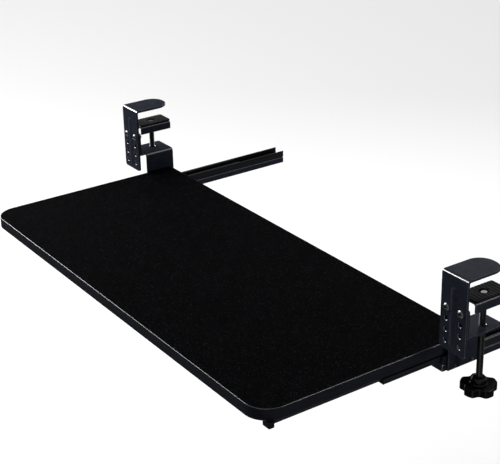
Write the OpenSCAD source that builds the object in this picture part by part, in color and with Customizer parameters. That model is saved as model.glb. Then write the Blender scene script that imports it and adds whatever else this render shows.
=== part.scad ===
// Sliding tray that hangs from two edge clamps on ball-bearing slides.
// X points right, Y to the back and Z up. The origin is the middle of the gripped edge:
// Y = 0 is the edge's front face and Z = 0 its top face. The tray is drawn pulled out.

/* [Tray] */
// Width of the tray, left to right
tray_w = 670; // [500:5:800]
// Depth of the tray, front to back
tray_d = 300; // [270:5:360]
// Thickness of the core board
core_t = 14; // [12:0.5:22]
// Thickness of the laminate on each face of the core
laminate_t = 0.6; // [0.4:0.1:1.5]
// Thickness of the band round the edge
band_t = 1; // [0.5:0.1:2.5]
// Radius of the two front corners
corner_r = 30; // [10:1:60]
// Depth of the tray's top below the gripped top face
tray_drop = 96; // [94:1:110]
// Distance from the gripped edge to the tray's front edge
tray_reach = 249; // [235:1:252]

/* [Clamp plates] */
// Gap between a side of the tray and the clamp beside it
side_gap = 4; // [2:0.5:10]
// Width of a clamp plate
plate_w = 42; // [40:1:70]
// Thickness of a clamp plate
plate_t = 3; // [2:0.5:5]
// Length of a clamp plate below the gripped top face
plate_h = 93.5; // [92:0.5:94.5]
// Radius of a clamp plate's lower corners
plate_r = 4; // [1:0.5:10]
// Inner radius of the bend between plate and tongue
bend_r = 1; // [0.5:0.1:1]
// Length of the tongue behind the gripped edge
tongue_l = 57; // [40:1:80]
// Radius of the tongue's two rear corners
tongue_r = 19.5; // [6:0.5:20]
// Thickness of the soft pad under the tongue
tongue_pad_t = 1; // [1:0.1:3]
// Margin of the soft pad inside the tongue's outline
tongue_pad_inset = 1.5; // [0.5:0.1:4]
// Width of the rib pressed into the plate
rib_w = 11; // [6:0.5:12]
// Height of the rib above the plate's face
rib_h = 1.5; // [1:0.1:2.5]
// Distance from the gripped top face to the rib's upper end
rib_start = 11; // [8:1:20]
// Distance from the rib's lower end to the plate's lower edge
rib_margin = 5; // [3:1:12]

/* [Height holes] */
// Number of rows of holes
hole_rows = 4; // [1:1:4]
// Distance between rows
hole_pitch = 14; // [11:0.5:15]
// Distance between the two columns
hole_span = 23; // [20:0.5:30]
// Depth of the first row below the gripped top face
first_row = 40; // [38:0.5:46]
// Thread diameter of the bolts in the first row
bolt_d = 5; // [4:0.5:6]
// Clearance round a bolt in its hole
bolt_gap = 0.25; // [0.1:0.05:0.5]

/* [Drop brackets] */
// Thickness of the bracket's sheet
bracket_t = 2.5; // [1.5:0.5:4]
// Inner radius of the bracket's bends
bracket_bend_r = 2; // [0.5:0.5:4]
// Length of the shelf from front to back
shelf_l = 58; // [52:1:80]
// Height of the flange's upper edge above the bolt row
flange_rise = 6; // [5:0.5:8]
// Distance from the gripped edge to the front of the side plate
side_plate_front = 11; // [8:1:16]

/* [Clamp jaws] */
// Jaw opening as drawn
grip_t = 25; // [12:1:48]
// Widest jaw opening
grip_max = 50; // [45:1:60]
// Distance from the gripped edge to the clamp screw
screw_y = 37; // [33:1:40]
// Distance that the clamp screw stands outboard of the plate's middle
screw_shift = 6; // [0:0.5:6]
// Thread diameter of the clamp screw
screw_d = 8; // [7:0.5:10]
// Diameter of the clamp screw's neck
neck_d = 5; // [4:0.5:6]
// Length of the neck between thrust collar and thread
neck_l = 3; // [1:0.5:8]
// Length of the thread above the knob
thread_l = 99; // [95:0.5:130]
// Radial clearance of the swivel stub in the pressure plate
swivel_gap = 0.05; // [0.02:0.01:0.1]
// Width of the pressure plate
pressure_w = 30; // [26:1:42]
// Length of the pressure plate from front to back
pressure_l = 52; // [30:1:52]
// Height of the pressure plate with its turned-down sides
pressure_h = 12.5; // [8:0.5:14]
// Thickness of the pressure plate's sheet
pressure_t = 2.5; // [1.5:0.5:3]
// Thickness of the rubber pad on the pressure plate
pressure_pad_t = 2.5; // [2:0.5:5]

/* [Knobs] */
// Diameter of the star knob
knob_d = 43.5; // [30:0.5:46]
// Number of lobes
knob_lobes = 5; // [3:1:7]
// Depth of the valleys between the lobes
valley_depth = 4.5; // [2:0.5:8]
// Thickness of the star
star_t = 10.5; // [8:0.5:18]
// Diameter of the knob's collar
collar_d = 19.5; // [14:0.5:22]
// Height of the knob's collar
collar_h = 8.5; // [5:0.5:16]
// Turn of the star about its screw, in degrees
knob_turn = -41; // [-180:1:180]

/* [Slides] */
// Length of each slide member
slide_l = 250; // [245:5:320]
// Distance from the gripped edge to the front of the fixed slide member
rail_front = 4; // [2:1:8]
// Distance that the middle member stands out of the fixed one
middle_reach = 85; // [70:1:100]
// Width of the fixed slide member
rail_w = 22; // [20:0.5:28]
// Sheet thickness of the fixed and inner members
rail_t = 1.2; // [1:0.1:1.6]
// Sheet thickness of the middle member
middle_t = 1.5; // [1.2:0.1:2]
// Height of the middle member
middle_h = 8; // [6.4:0.1:9]
// Height of the inner member
inner_h = 3.6; // [3.2:0.1:3.8]
// Gap between neighbouring members, where the balls run
ball_gap = 1.6; // [1.4:0.1:1.8]
// Diameter of a ball
ball_d = 2.4; // [2:0.1:2.4]
// Distance between balls in a cage
ball_pitch = 12; // [6:1:20]
// Sheet thickness of the ball cages
cage_t = 0.6; // [0.4:0.1:0.6]
// Sheet thickness of the support channel
support_t = 1.5; // [1:0.1:2.5]
// Height of the support channel
support_h = 9; // [8.5:0.5:20]

/* [Front bumpers] */
// Width of a bumper
bumper_w = 13.2; // [11:0.1:18]
// Depth of a bumper from front to back
bumper_d = 8; // [7:0.5:14]
// Distance from the tray's rounded front edge to a bumper
bumper_margin = 0.3; // [0.2:0.1:6]
// Distance from a bumper's middle in to its screw
bumper_screw_shift = 2; // [0:0.5:3]
// Height of a bumper below the tray
bumper_h = 7.8; // [5:0.1:9]

/* [Hidden] */
$fn = 64;

// Clearances
glue_gap = 0.05;
thread_gap = 0.08;
slip_gap = 0.15;
cage_gap = 0.4;
swivel_play = 0.1;
run_gap = 0.8;
shelf_gap = 3;
close_gap = 1;
cut = 1;

// Tray levels and ends
board_t = core_t + 2 * laminate_t;
tray_top = -tray_drop;
tray_bottom = tray_top - board_t;
tray_front = -tray_reach;
tray_back = tray_front + tray_d;

// Clamp plate edges and tongue levels
clamp_in = tray_w / 2 + side_gap;
clamp_out = clamp_in + plate_w;
clamp_x = clamp_in + plate_w / 2;
screw_x = clamp_x + screw_shift;
tongue_top = tongue_pad_t + plate_t;
tongue_pad_start = bend_r + 1;

// Rib: radius of its round face and the ends of its straight run
rib_r = (rib_w * rib_w / 4 + rib_h * rib_h) / (2 * rib_h);
rib_high = -rib_start - rib_w / 2;
rib_low = -plate_h + rib_margin + rib_w / 2;

// Bolts of the first row of holes
bolt_row = -first_row;
bolt_columns = [clamp_x - hole_span / 2, clamp_x + hole_span / 2];
bolt_head_d = 1.9 * bolt_d;
bolt_head_h = 0.55 * bolt_d;
bolt_socket_af = 0.6 * bolt_d;
bolt_socket_depth = 0.32 * bolt_d;
nut_af = 1.6 * bolt_d;
nut_h = 0.8 * bolt_d;
bolt_tip = 1;

// Bracket levels
shelf_top = -(grip_max + pressure_pad_t + pressure_h + shelf_gap);
shelf_bottom = shelf_top - bracket_t;
shelf_corner = bracket_bend_r + bracket_t;
flange_top = bolt_row + flange_rise;

// Slide levels, widths and ball races
rail_top = tray_bottom - run_gap;
rail_x = clamp_in - rail_w / 2;
rail_bend_r = 0.8;
middle_w = rail_w - 2 * (rail_t + ball_gap);
inner_w = middle_w - 2 * (middle_t + ball_gap);
middle_bottom = rail_top - middle_h;
inner_bottom = tray_bottom - inner_h;
outer_h = middle_h + 2 * cage_gap + cage_t + rail_t;
outer_race_x = rail_w / 2 - rail_t - ball_gap / 2;
inner_race_x = middle_w / 2 - middle_t - ball_gap / 2;
outer_race_z = rail_top - 3;
inner_race_z = tray_bottom - 2.2;
groove_d = ball_d + 2 * slip_gap;
support_top = rail_top - outer_h;
support_bottom = support_top - support_h;
support_end_w = rail_w - support_t;

// Front of the bumpers, behind the tray's front edge where a slide meets its round corner
corner_run = max(0, rail_x - (tray_w / 2 - corner_r));
bumper_front = tray_front + corner_r - sqrt(corner_r * corner_r - corner_run * corner_run) + bumper_margin;

// Slide ends with the tray pulled out
outer_back = rail_front + slide_l;
middle_front = rail_front - middle_reach;
middle_back = middle_front + slide_l;
inner_front = bumper_front + bumper_d;
inner_back = inner_front + slide_l;
tray_travel = rail_front - inner_front - close_gap;

// Stop ears in the ball gaps and the cages between them
ear_t = 1.2;
ear_reach = 1;
ear_h = 4;
ear_gap = 0.3;
outer_cage_ends = [rail_front + ear_t + ear_gap, middle_back - ear_t - ear_gap];
inner_cage_ends = [middle_front + ear_t + ear_gap, inner_back - ear_t - ear_gap];
cage_top = rail_top - cage_gap;
outer_cage_h = cage_top - middle_bottom + cage_gap + cage_t;
inner_cage_h = cage_top - inner_bottom + cage_gap + cage_t;
cage_bend_r = 0.4;
cage_end_margin = 5;

// Rivets between bracket and support, and between support and fixed member
rivet_d = 4;
rivet_head_d = 6;
rivet_head_h = 1.5;
rivet_sink_h = 0.8;
side_rivet_inset = 10;
side_rivets = [side_plate_front + side_rivet_inset, shelf_l - side_rivet_inset];
side_rivet_z = support_bottom + 0.4 * support_h;
slide_rivet_inset = 40;
slide_rivets = [rail_front + slide_rivet_inset, rail_front + slide_l / 2, outer_back - slide_rivet_inset];

// Wood screws into the tray's underside
wood_screw_d = 3.2;
wood_head_d = 5.6;
wood_head_h = 1.8;
wood_screw_l = 11;
wood_screw_inset = 25;
tray_screws_y = [inner_front + wood_screw_inset, (inner_front + inner_back) / 2 - 20, inner_back - wood_screw_inset];
bumper_y = bumper_front + bumper_d / 2;
bumper_screw_x = rail_x - bumper_screw_shift;
bumper_r = 2;
bumper_head_room = 1;
bumper_seat = tray_bottom - bumper_h + wood_head_h + bumper_head_room;

// Clamp screw levels, from the rubber pad's face down to the knob
jaw_z = -grip_t;
pressure_top = jaw_z - pressure_pad_t;
pressure_under = pressure_top - pressure_t;
pressure_bend_r = 2;
pad_r = 3;
pad_hole_d = 12;
swivel_head_d = 8;
swivel_head_h = 1.2;
thrust_d = 12;
thrust_h = 3;
thrust_top = pressure_under - swivel_play;
neck_top = thrust_top - thrust_h;
thread_top = neck_top - neck_l;
knob_top = thread_top - thread_l;
star_top = knob_top - collar_h;
knob_bottom = star_top - star_t;
screw_end = star_top - star_t / 2;
scallop_d = 0.35 * knob_d;
scallop_x = knob_d / 2 - valley_depth + scallop_d / 2;
collar_top_d = 0.7 * collar_d;

// Nut welded under the shelf
weld_nut_af = screw_d + 5;
weld_nut_h = 6.5;

// Helpers

// Right-hand shape, mirrored for the left side
module on_side(side) {
    if (side == "left") mirror([1, 0, 0]) children();
    else children();
}

// Profile drawn in (Y, Z), swept along X
module sweep_x(x0, x1) {
    translate([x0, 0, 0]) rotate([90, 0, 90]) linear_extrude(x1 - x0) children();
}

// Profile drawn in (X, Z), swept along Y
module sweep_y(y0, y1) {
    translate([0, y1, 0]) rotate([90, 0, 0]) linear_extrude(y1 - y0) children();
}

// Outline drawn in (X, Y), raised along Z
module raise(z0, z1) {
    translate([0, 0, z0]) linear_extrude(z1 - z0) children();
}

// Rods and cutters along each axis, by their two ends
module rod_x(y, z, d, x0, x1) {
    translate([x0, y, z]) rotate([0, 90, 0]) cylinder(d = d, h = x1 - x0);
}

module rod_y(x, z, d, y0, y1) {
    translate([x, y1, z]) rotate([90, 0, 0]) cylinder(d = d, h = y1 - y0);
}

module rod_z(x, y, d, z0, z1) {
    translate([x, y, z0]) cylinder(d = d, h = z1 - z0);
}

// Sheet bent to a right angle: outer corner at the origin, one leg across, one leg down
module sheet_bend(t, r, across, down) {
    corner = r + t;
    translate([0, -down]) square([t, down - corner]);
    translate([corner, -t]) square([across - corner, t]);
    intersection() {
        translate([corner, -corner]) difference() {
            circle(corner);
            circle(r);
        }
        translate([0, -corner]) square(corner);
    }
}

// Rectangle that stands on the X axis, with its two upper corners rounded
module arch(w, h, r) {
    translate([-w / 2, 0]) square([w, h - r]);
    translate([-w / 2 + r, 0]) square([w - 2 * r, h]);
    for (s = [-1, 1]) translate([s * (w / 2 - r), h - r]) circle(r);
}

// U section of bent sheet, open at the bottom
module channel(w, h, t, r) {
    difference() {
        arch(w, h, r + t);
        translate([0, -cut]) arch(w - 2 * t, h - t + cut, r);
    }
}

// Rectangle with four round corners, centred
module rounded_rectangle(w, l, r) {
    square([w - 2 * r, l], center = true);
    square([w, l - 2 * r], center = true);
    for (sx = [-1, 1], sy = [-1, 1]) translate([sx * (w / 2 - r), sy * (l / 2 - r)]) circle(r);
}

// Low round head that stands on z = 0
module dome(d, h) {
    r = (d * d / 4 + h * h) / (2 * h);
    intersection() {
        translate([0, 0, h - r]) sphere(r);
        cylinder(d = d + cut, h = h);
    }
}

// Hexagon bar measured across its flats
module hexagon(af, h) {
    cylinder(d = af / cos(30), h = h, $fn = 6);
}

// Wood screw that points up: the head hangs below z = 0
module wood_screw() {
    mirror([0, 0, 1]) dome(wood_head_d, wood_head_h);
    cylinder(d = wood_screw_d, h = wood_screw_l);
}

// Tray

// Outline of the tray, drawn in by inset all round
module tray_outline(inset) {
    translate([0, tray_back - inset]) mirror([0, 1])
        arch(tray_w - 2 * inset, tray_d - 2 * inset, corner_r - inset);
}

// Pilot holes for every wood screw in the underside
module pilot_holes() {
    for (side = ["left", "right"]) on_side(side) {
        for (y = tray_screws_y) pilot_hole(rail_x, y, tray_bottom - rail_t);
        pilot_hole(bumper_screw_x, bumper_y, bumper_seat);
    }
}

module pilot_hole(x, y, seat) {
    rod_z(x, y, wood_screw_d + 2 * glue_gap, tray_bottom - cut, seat + wood_screw_l + glue_gap);
}

module tray_core() {
    color("#8a6f52") difference() {
        raise(tray_bottom + laminate_t, tray_top - laminate_t) tray_outline(band_t + glue_gap);
        pilot_holes();
    }
}

module tray_top_laminate() {
    color("#141416") raise(tray_top - laminate_t, tray_top) tray_outline(band_t + glue_gap);
}

module tray_bottom_laminate() {
    color("#18181a") difference() {
        raise(tray_bottom, tray_bottom + laminate_t) tray_outline(band_t + glue_gap);
        pilot_holes();
    }
}

module tray_edge_band() {
    color("#26272a") raise(tray_bottom, tray_top) difference() {
        tray_outline(0);
        tray_outline(band_t);
    }
}

// Clamp plates

// Outline of the tongue seen from above
module tongue_outline(start, inset) {
    translate([clamp_x, start]) arch(plate_w - 2 * inset, tongue_l - start - inset, tongue_r - inset);
}

// Outline of the plate seen from the front, drawn in (X, Z)
module plate_outline() {
    translate([clamp_x, tongue_top]) mirror([0, 1]) arch(plate_w, plate_h + tongue_top, plate_r);
}

// Round-ended bar whose front is the rib's face, moved back by inward
module rib_bar(inward) {
    y = inward + rib_r - rib_h - plate_t;
    rod_z(clamp_x, y, 2 * rib_r, rib_low, rib_high);
    for (z = [rib_low, rib_high]) translate([clamp_x, y, z]) sphere(rib_r);
}

module clamp_plate(side) {
    color("#23262c") on_side(side) difference() {
        union() {
            intersection() {
                sweep_x(clamp_in, clamp_out) translate([-plate_t, tongue_top])
                    sheet_bend(plate_t, bend_r, plate_t + tongue_l, tongue_top + plate_h);
                raise(-plate_h, tongue_top) tongue_outline(-plate_t, 0);
                sweep_y(-plate_t, tongue_l) plate_outline();
            }
            intersection() {
                rib_bar(0);
                translate([clamp_in, -plate_t - rib_h, -plate_h]) cube([plate_w, rib_h, plate_h]);
            }
        }
        rib_bar(plate_t);
        for (x = bolt_columns, row = [0 : hole_rows - 1])
            rod_y(x, bolt_row - row * hole_pitch, bolt_d + 2 * bolt_gap, -plate_t - cut, cut);
    }
}

module tongue_pad(side) {
    color("#101010") on_side(side) raise(0, tongue_pad_t) tongue_outline(tongue_pad_start, tongue_pad_inset);
}

// Drop brackets

module drop_bracket(side) {
    color("#17181b") on_side(side) difference() {
        union() {
            // Flange behind the clamp plate, with the shelf
            sweep_x(clamp_in + shelf_corner, clamp_out) translate([0, shelf_bottom]) mirror([0, 1])
                sheet_bend(bracket_t, bracket_bend_r, shelf_l, flange_top - shelf_bottom);
            translate([clamp_in, 0, shelf_bottom + shelf_corner])
                cube([shelf_corner, bracket_t, flange_top - shelf_bottom - shelf_corner]);
            // Side plate beside the tray
            sweep_y(side_plate_front, shelf_l) translate([clamp_in, shelf_top])
                sheet_bend(bracket_t, bracket_bend_r, 2 * shelf_corner, shelf_top - support_bottom);
        }
        for (x = bolt_columns) rod_y(x, bolt_row, bolt_d + 2 * bolt_gap, -cut, bracket_t + cut);
        rod_z(screw_x, screw_y, screw_d + 1, shelf_bottom - cut, shelf_top + cut);
        for (y = side_rivets) rod_x(y, side_rivet_z, rivet_d + 2 * glue_gap, clamp_in - cut, clamp_in + bracket_t + cut);
    }
}

module bracket_bolt() {
    difference() {
        dome(bolt_head_d, bolt_head_h);
        translate([0, 0, bolt_head_h - bolt_socket_depth]) hexagon(bolt_socket_af, bolt_socket_depth + cut);
    }
    length = plate_t + bracket_t + nut_h + bolt_tip;
    translate([0, 0, -length]) cylinder(d = bolt_d, h = length);
}

module bracket_bolts(side) {
    color("#2a2b2e") on_side(side) for (x = bolt_columns)
        translate([x, -plate_t, bolt_row]) rotate([90, 0, 0]) bracket_bolt();
}

module bracket_nuts(side) {
    color("#2a2b2e") on_side(side) for (x = bolt_columns)
        translate([x, bracket_t, bolt_row]) rotate([-90, 0, 0]) difference() {
            hexagon(nut_af, nut_h);
            translate([0, 0, -cut]) cylinder(d = bolt_d + 2 * thread_gap, h = nut_h + 2 * cut);
        }
}

module weld_nut(side) {
    color("#26272a") on_side(side) translate([screw_x, screw_y, shelf_bottom - weld_nut_h]) difference() {
        hexagon(weld_nut_af, weld_nut_h);
        translate([0, 0, -cut]) cylinder(d = screw_d + 2 * thread_gap, h = weld_nut_h + 2 * cut);
    }
}

// Clamp jaws

module pressure_plate(side) {
    color("#1e2024") on_side(side) difference() {
        sweep_y(screw_y - pressure_l / 2, screw_y + pressure_l / 2)
            translate([screw_x, pressure_top - pressure_h])
            channel(pressure_w, pressure_h, pressure_t, pressure_bend_r);
        rod_z(screw_x, screw_y, neck_d + 2 * swivel_gap, pressure_under - cut, pressure_top + cut);
    }
}

module pressure_pad(side) {
    color("#0e0e0f") on_side(side) difference() {
        raise(pressure_top, jaw_z) translate([screw_x, screw_y]) rounded_rectangle(pressure_w, pressure_l, pad_r);
        rod_z(screw_x, screw_y, pad_hole_d, pressure_top - cut, jaw_z + cut);
    }
}

module clamp_screw(side) {
    color("#35373b") on_side(side) translate([screw_x, screw_y, 0]) {
        rod_z(0, 0, screw_d, screw_end, thread_top);
        rod_z(0, 0, neck_d, thread_top - cut, pressure_top + swivel_play + cut / 2);
        rod_z(0, 0, thrust_d, neck_top, thrust_top);
        rod_z(0, 0, swivel_head_d, pressure_top + swivel_play, pressure_top + swivel_play + swivel_head_h);
    }
}

module clamp_knob(side) {
    color("#121213") on_side(side) translate([screw_x, screw_y, 0]) difference() {
        union() {
            translate([0, 0, star_top]) cylinder(d1 = collar_d, d2 = collar_top_d, h = collar_h);
            raise(knob_bottom, star_top) rotate(knob_turn) difference() {
                circle(d = knob_d);
                for (i = [0 : knob_lobes - 1]) rotate(i * 360 / knob_lobes)
                    translate([scallop_x, 0]) circle(d = scallop_d);
            }
        }
        rod_z(0, 0, screw_d + 2 * glue_gap, screw_end - glue_gap, knob_top + cut);
    }
}

// Slides

// Wall that closes the front of the support channel
module support_end() {
    sweep_y(rail_front, rail_front + support_t) translate([rail_x - support_end_w / 2, support_bottom])
        square([support_end_w, support_h - support_t / 2]);
}

module rail_support(side) {
    color("#1a1b1e") on_side(side) difference() {
        union() {
            sweep_y(rail_front, outer_back) translate([rail_x, support_bottom])
                channel(rail_w, support_h, support_t, rail_bend_r);
            support_end();
        }
        for (y = side_rivets) rod_x(y, side_rivet_z, rivet_d + 2 * glue_gap, clamp_in - support_t - cut, clamp_in + cut);
        for (y = slide_rivets) rod_z(rail_x, y, rivet_d + 2 * glue_gap, support_top - support_t - cut, support_top + cut);
    }
}

module side_rivets(side) {
    color("#2a2b2e") on_side(side) for (y = side_rivets) {
        rod_x(y, side_rivet_z, rivet_d, clamp_in - support_t, clamp_in + bracket_t);
        translate([clamp_in + bracket_t, y, side_rivet_z]) rotate([0, 90, 0]) dome(rivet_head_d, rivet_head_h);
        translate([clamp_in - support_t, y, side_rivet_z]) rotate([0, -90, 0]) dome(rivet_head_d, rivet_head_h);
    }
}

// Cone of a rivet that lies flush in the floor of the fixed member
module sunk_head(gap) {
    translate([0, 0, support_top + rail_t - rivet_sink_h])
        cylinder(d1 = rivet_d + 2 * gap, d2 = rivet_d + 2 * rivet_sink_h + 2 * gap, h = rivet_sink_h);
}

module slide_rivets(side) {
    color("#8d9096") on_side(side) for (y = slide_rivets) translate([rail_x, y, 0]) {
        sunk_head(0);
        rod_z(0, 0, rivet_d, support_top - support_t, support_top + rail_t - rivet_sink_h);
        translate([0, 0, support_top - support_t]) mirror([0, 0, 1]) dome(rivet_head_d, rivet_head_h);
    }
}

// Pair of grooves in which the balls run
module ball_grooves(race_x, race_z, y0, y1) {
    for (s = [-1, 1]) rod_y(rail_x + s * race_x, race_z, groove_d, y0 - cut, y1 + cut);
}

// Pair of stop ears that reach from a wall into the ball gap
module stop_ears(wall_x, reach, y0, z0, height) {
    for (s = [-1, 1]) translate([rail_x + s * (wall_x + reach / 2), y0 + ear_t / 2, z0 + height / 2])
        cube([abs(reach), ear_t, height], center = true);
}

module slide_outer(side) {
    color("#2a2c30") on_side(side) difference() {
        union() {
            difference() {
                sweep_y(rail_front, outer_back) translate([rail_x, rail_top]) mirror([0, 1])
                    channel(rail_w, outer_h, rail_t, rail_bend_r);
                ball_grooves(outer_race_x, outer_race_z, rail_front, outer_back);
            }
            stop_ears(rail_w / 2 - rail_t, -ear_reach, rail_front, middle_bottom, ear_h);
        }
        for (y = slide_rivets) translate([rail_x, y, 0]) {
            sunk_head(glue_gap);
            rod_z(0, 0, rivet_d + 2 * glue_gap, support_top - cut, support_top + rail_t);
        }
    }
}

module slide_middle(side) {
    color("#33353a") on_side(side) {
        difference() {
            sweep_y(middle_front, middle_back) translate([rail_x, rail_top]) mirror([0, 1])
                channel(middle_w, middle_h, middle_t, rail_bend_r);
            ball_grooves(outer_race_x, outer_race_z, middle_front, middle_back);
            ball_grooves(inner_race_x, inner_race_z, middle_front, middle_back);
        }
        stop_ears(middle_w / 2, ear_reach, middle_back - ear_t, middle_bottom + middle_h - ear_h, ear_h);
        stop_ears(middle_w / 2 - middle_t, -ear_reach, middle_front, cage_top - ear_h, ear_h);
    }
}

module slide_inner(side) {
    color("#2a2c30") on_side(side) {
        difference() {
            sweep_y(inner_front, inner_back) translate([rail_x, inner_bottom])
                channel(inner_w, inner_h, rail_t, rail_bend_r);
            ball_grooves(inner_race_x, inner_race_z, inner_front, inner_back);
            for (y = tray_screws_y)
                rod_z(rail_x, y, wood_screw_d + 2 * glue_gap, tray_bottom - rail_t - cut, tray_bottom + cut);
        }
        stop_ears(inner_w / 2, ear_reach, inner_back - ear_t, inner_bottom, cage_top - inner_bottom);
    }
}

// Places of the balls along a cage
function ball_places(ends) = [
    for (y = [ends[0] + cage_end_margin : ball_pitch : ends[1] - cage_end_margin]) y
];

// U-shaped cage with a window round each ball
module ball_cage(race_x, race_z, height, ends) {
    difference() {
        sweep_y(ends[0], ends[1]) translate([rail_x, cage_top]) mirror([0, 1])
            channel(2 * race_x + cage_t, height, cage_t, cage_bend_r);
        for (y = ball_places(ends))
            rod_x(y, race_z, ball_d + 2 * slip_gap, rail_x - race_x - cage_t, rail_x + race_x + cage_t);
    }
}

module cage_balls(race_x, race_z, ends) {
    for (s = [-1, 1], y = ball_places(ends)) translate([rail_x + s * race_x, y, race_z]) sphere(d = ball_d);
}

module outer_cage(side) {
    color("#b08d45") on_side(side) ball_cage(outer_race_x, outer_race_z, outer_cage_h, outer_cage_ends);
}

module outer_balls(side) {
    color("#d4d6d9") on_side(side) cage_balls(outer_race_x, outer_race_z, outer_cage_ends);
}

module inner_cage(side) {
    color("#b08d45") on_side(side) ball_cage(inner_race_x, inner_race_z, inner_cage_h, inner_cage_ends);
}

module inner_balls(side) {
    color("#d4d6d9") on_side(side) cage_balls(inner_race_x, inner_race_z, inner_cage_ends);
}

module tray_screws(side) {
    color("#9a9da3") on_side(side) for (y = tray_screws_y)
        translate([rail_x, y, tray_bottom - rail_t]) wood_screw();
}

// Front bumpers

module front_bumper(side) {
    color("#0f0f10") on_side(side) difference() {
        raise(tray_bottom - bumper_h, tray_bottom) translate([rail_x, bumper_y])
            rounded_rectangle(bumper_w, bumper_d, bumper_r);
        rod_z(bumper_screw_x, bumper_y, wood_screw_d + 2 * glue_gap, bumper_seat - cut, tray_bottom + cut);
        rod_z(bumper_screw_x, bumper_y, wood_head_d + 2 * slip_gap, tray_bottom - bumper_h - cut, bumper_seat);
    }
}

module bumper_screw(side) {
    color("#9a9da3") on_side(side) translate([bumper_screw_x, bumper_y, bumper_seat]) wood_screw();
}

tray_core();
tray_top_laminate();
tray_bottom_laminate();
tray_edge_band();
clamp_plate("left");  // clamp_plate_left
clamp_plate("right");  // clamp_plate_right
tongue_pad("left");  // tongue_pad_left
tongue_pad("right");  // tongue_pad_right
drop_bracket("left");  // drop_bracket_left
drop_bracket("right");  // drop_bracket_right
bracket_bolts("left");  // bracket_bolts_left
bracket_bolts("right");  // bracket_bolts_right
bracket_nuts("left");  // bracket_nuts_left
bracket_nuts("right");  // bracket_nuts_right
weld_nut("left");  // weld_nut_left
weld_nut("right");  // weld_nut_right
clamp_screw("left");  // clamp_screw_left
clamp_screw("right");  // clamp_screw_right
clamp_knob("left");  // clamp_knob_left
clamp_knob("right");  // clamp_knob_right
pressure_plate("left");  // pressure_plate_left
pressure_plate("right");  // pressure_plate_right
pressure_pad("left");  // pressure_pad_left
pressure_pad("right");  // pressure_pad_right
rail_support("left");  // rail_support_left
rail_support("right");  // rail_support_right
side_rivets("left");  // side_rivets_left
side_rivets("right");  // side_rivets_right
slide_rivets("left");  // slide_rivets_left
slide_rivets("right");  // slide_rivets_right
slide_outer("left");  // slide_outer_left
slide_outer("right");  // slide_outer_right
slide_middle("left");  // slide_middle_left
slide_middle("right");  // slide_middle_right
slide_inner("left");  // slide_inner_left
slide_inner("right");  // slide_inner_right
outer_cage("left");  // outer_cage_left
outer_cage("right");  // outer_cage_right
outer_balls("left");  // outer_balls_left
outer_balls("right");  // outer_balls_right
inner_cage("left");  // inner_cage_left
inner_cage("right");  // inner_cage_right
inner_balls("left");  // inner_balls_left
inner_balls("right");  // inner_balls_right
tray_screws("left");  // tray_screws_left
tray_screws("right");  // tray_screws_right
front_bumper("left");  // front_bumper_left
front_bumper("right");  // front_bumper_right
bumper_screw("left");  // bumper_screw_left
bumper_screw("right");  // bumper_screw_right
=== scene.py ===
"""Looks of a slide-out tray that hangs from two screw clamps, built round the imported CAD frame.

Meshes are modelled in millimetres and brought to metres when they are settled.
"""

import logging
import math
from contextlib import contextmanager
from dataclasses import dataclass
from enum import Enum
from typing import Callable, Iterator, Sequence

import bmesh
import bpy
from mathutils import Matrix, Vector


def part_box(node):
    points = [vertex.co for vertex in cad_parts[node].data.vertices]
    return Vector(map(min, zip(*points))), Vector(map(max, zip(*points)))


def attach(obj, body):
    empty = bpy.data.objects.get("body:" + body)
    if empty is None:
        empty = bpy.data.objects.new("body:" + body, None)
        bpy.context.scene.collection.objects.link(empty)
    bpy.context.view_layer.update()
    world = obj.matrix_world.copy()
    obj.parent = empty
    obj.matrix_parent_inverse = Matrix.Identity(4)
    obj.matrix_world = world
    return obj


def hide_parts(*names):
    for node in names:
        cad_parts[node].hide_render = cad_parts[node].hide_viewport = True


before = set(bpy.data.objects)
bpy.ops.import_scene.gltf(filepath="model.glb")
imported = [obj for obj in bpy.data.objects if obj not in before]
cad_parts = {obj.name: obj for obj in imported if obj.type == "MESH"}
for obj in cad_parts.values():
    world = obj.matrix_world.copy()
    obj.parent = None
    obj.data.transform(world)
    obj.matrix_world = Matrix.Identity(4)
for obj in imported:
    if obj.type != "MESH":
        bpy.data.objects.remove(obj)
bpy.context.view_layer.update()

LOG = logging.getLogger("tray")

# Values that several pieces share: lengths in millimetres, angles in radians
MM = 0.001
CLOSE = 1e-3
FACES_AXIS = 0.99
SHARP_ANGLE = math.radians(60)
SMOOTH_ANGLE = math.radians(32)
NORMAL_WEIGHT = 80
EDGE_MASK = "edge"
EDGE_WIDTH = 1.2
DIAGONAL_TURN = 1 - math.sqrt(0.5)
RIM_OVERRUN = 0.2
TOOL_OVERRUN = 1.0
CUTTER_STEPS = 32
HEX_SIDES = 6
HOLE_SPAN = 23.0
HOLE_ROWS = (-40.0, -54.0, -68.0, -82.0)

WHITE = (1.0, 1.0, 1.0, 1.0)
Colour = tuple[float, float, float]
Piece = bpy.types.Object
Socket = bpy.types.NodeSocket
Profile = Sequence[tuple[float, float]]


class Side(Enum):
    """The two mirrored sides of the tray."""

    RIGHT = 1
    LEFT = -1

    def node(self, base: str) -> str:
        """Name of a CAD node or body on this side."""
        return f"{base}_{self.name.lower()}"


class Facing(Enum):
    """Turn that points a shape's own +Z another way."""

    UP = (0.0, 0.0, 0.0)
    DOWN = (math.pi, 0.0, 0.0)
    BACK = (-math.pi / 2, 0.0, 0.0)
    FRONT = (math.pi / 2, 0.0, 0.0)


class Pick(Enum):
    """Kind of element that a selection holds."""

    VERT = "VERT"
    EDGE = "EDGE"
    FACE = "FACE"


class Merge(Enum):
    """Ways to change a piece by a tool shape."""

    ADD = "UNION"
    CUT = "DIFFERENCE"
    TRIM = "INTERSECT"


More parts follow.
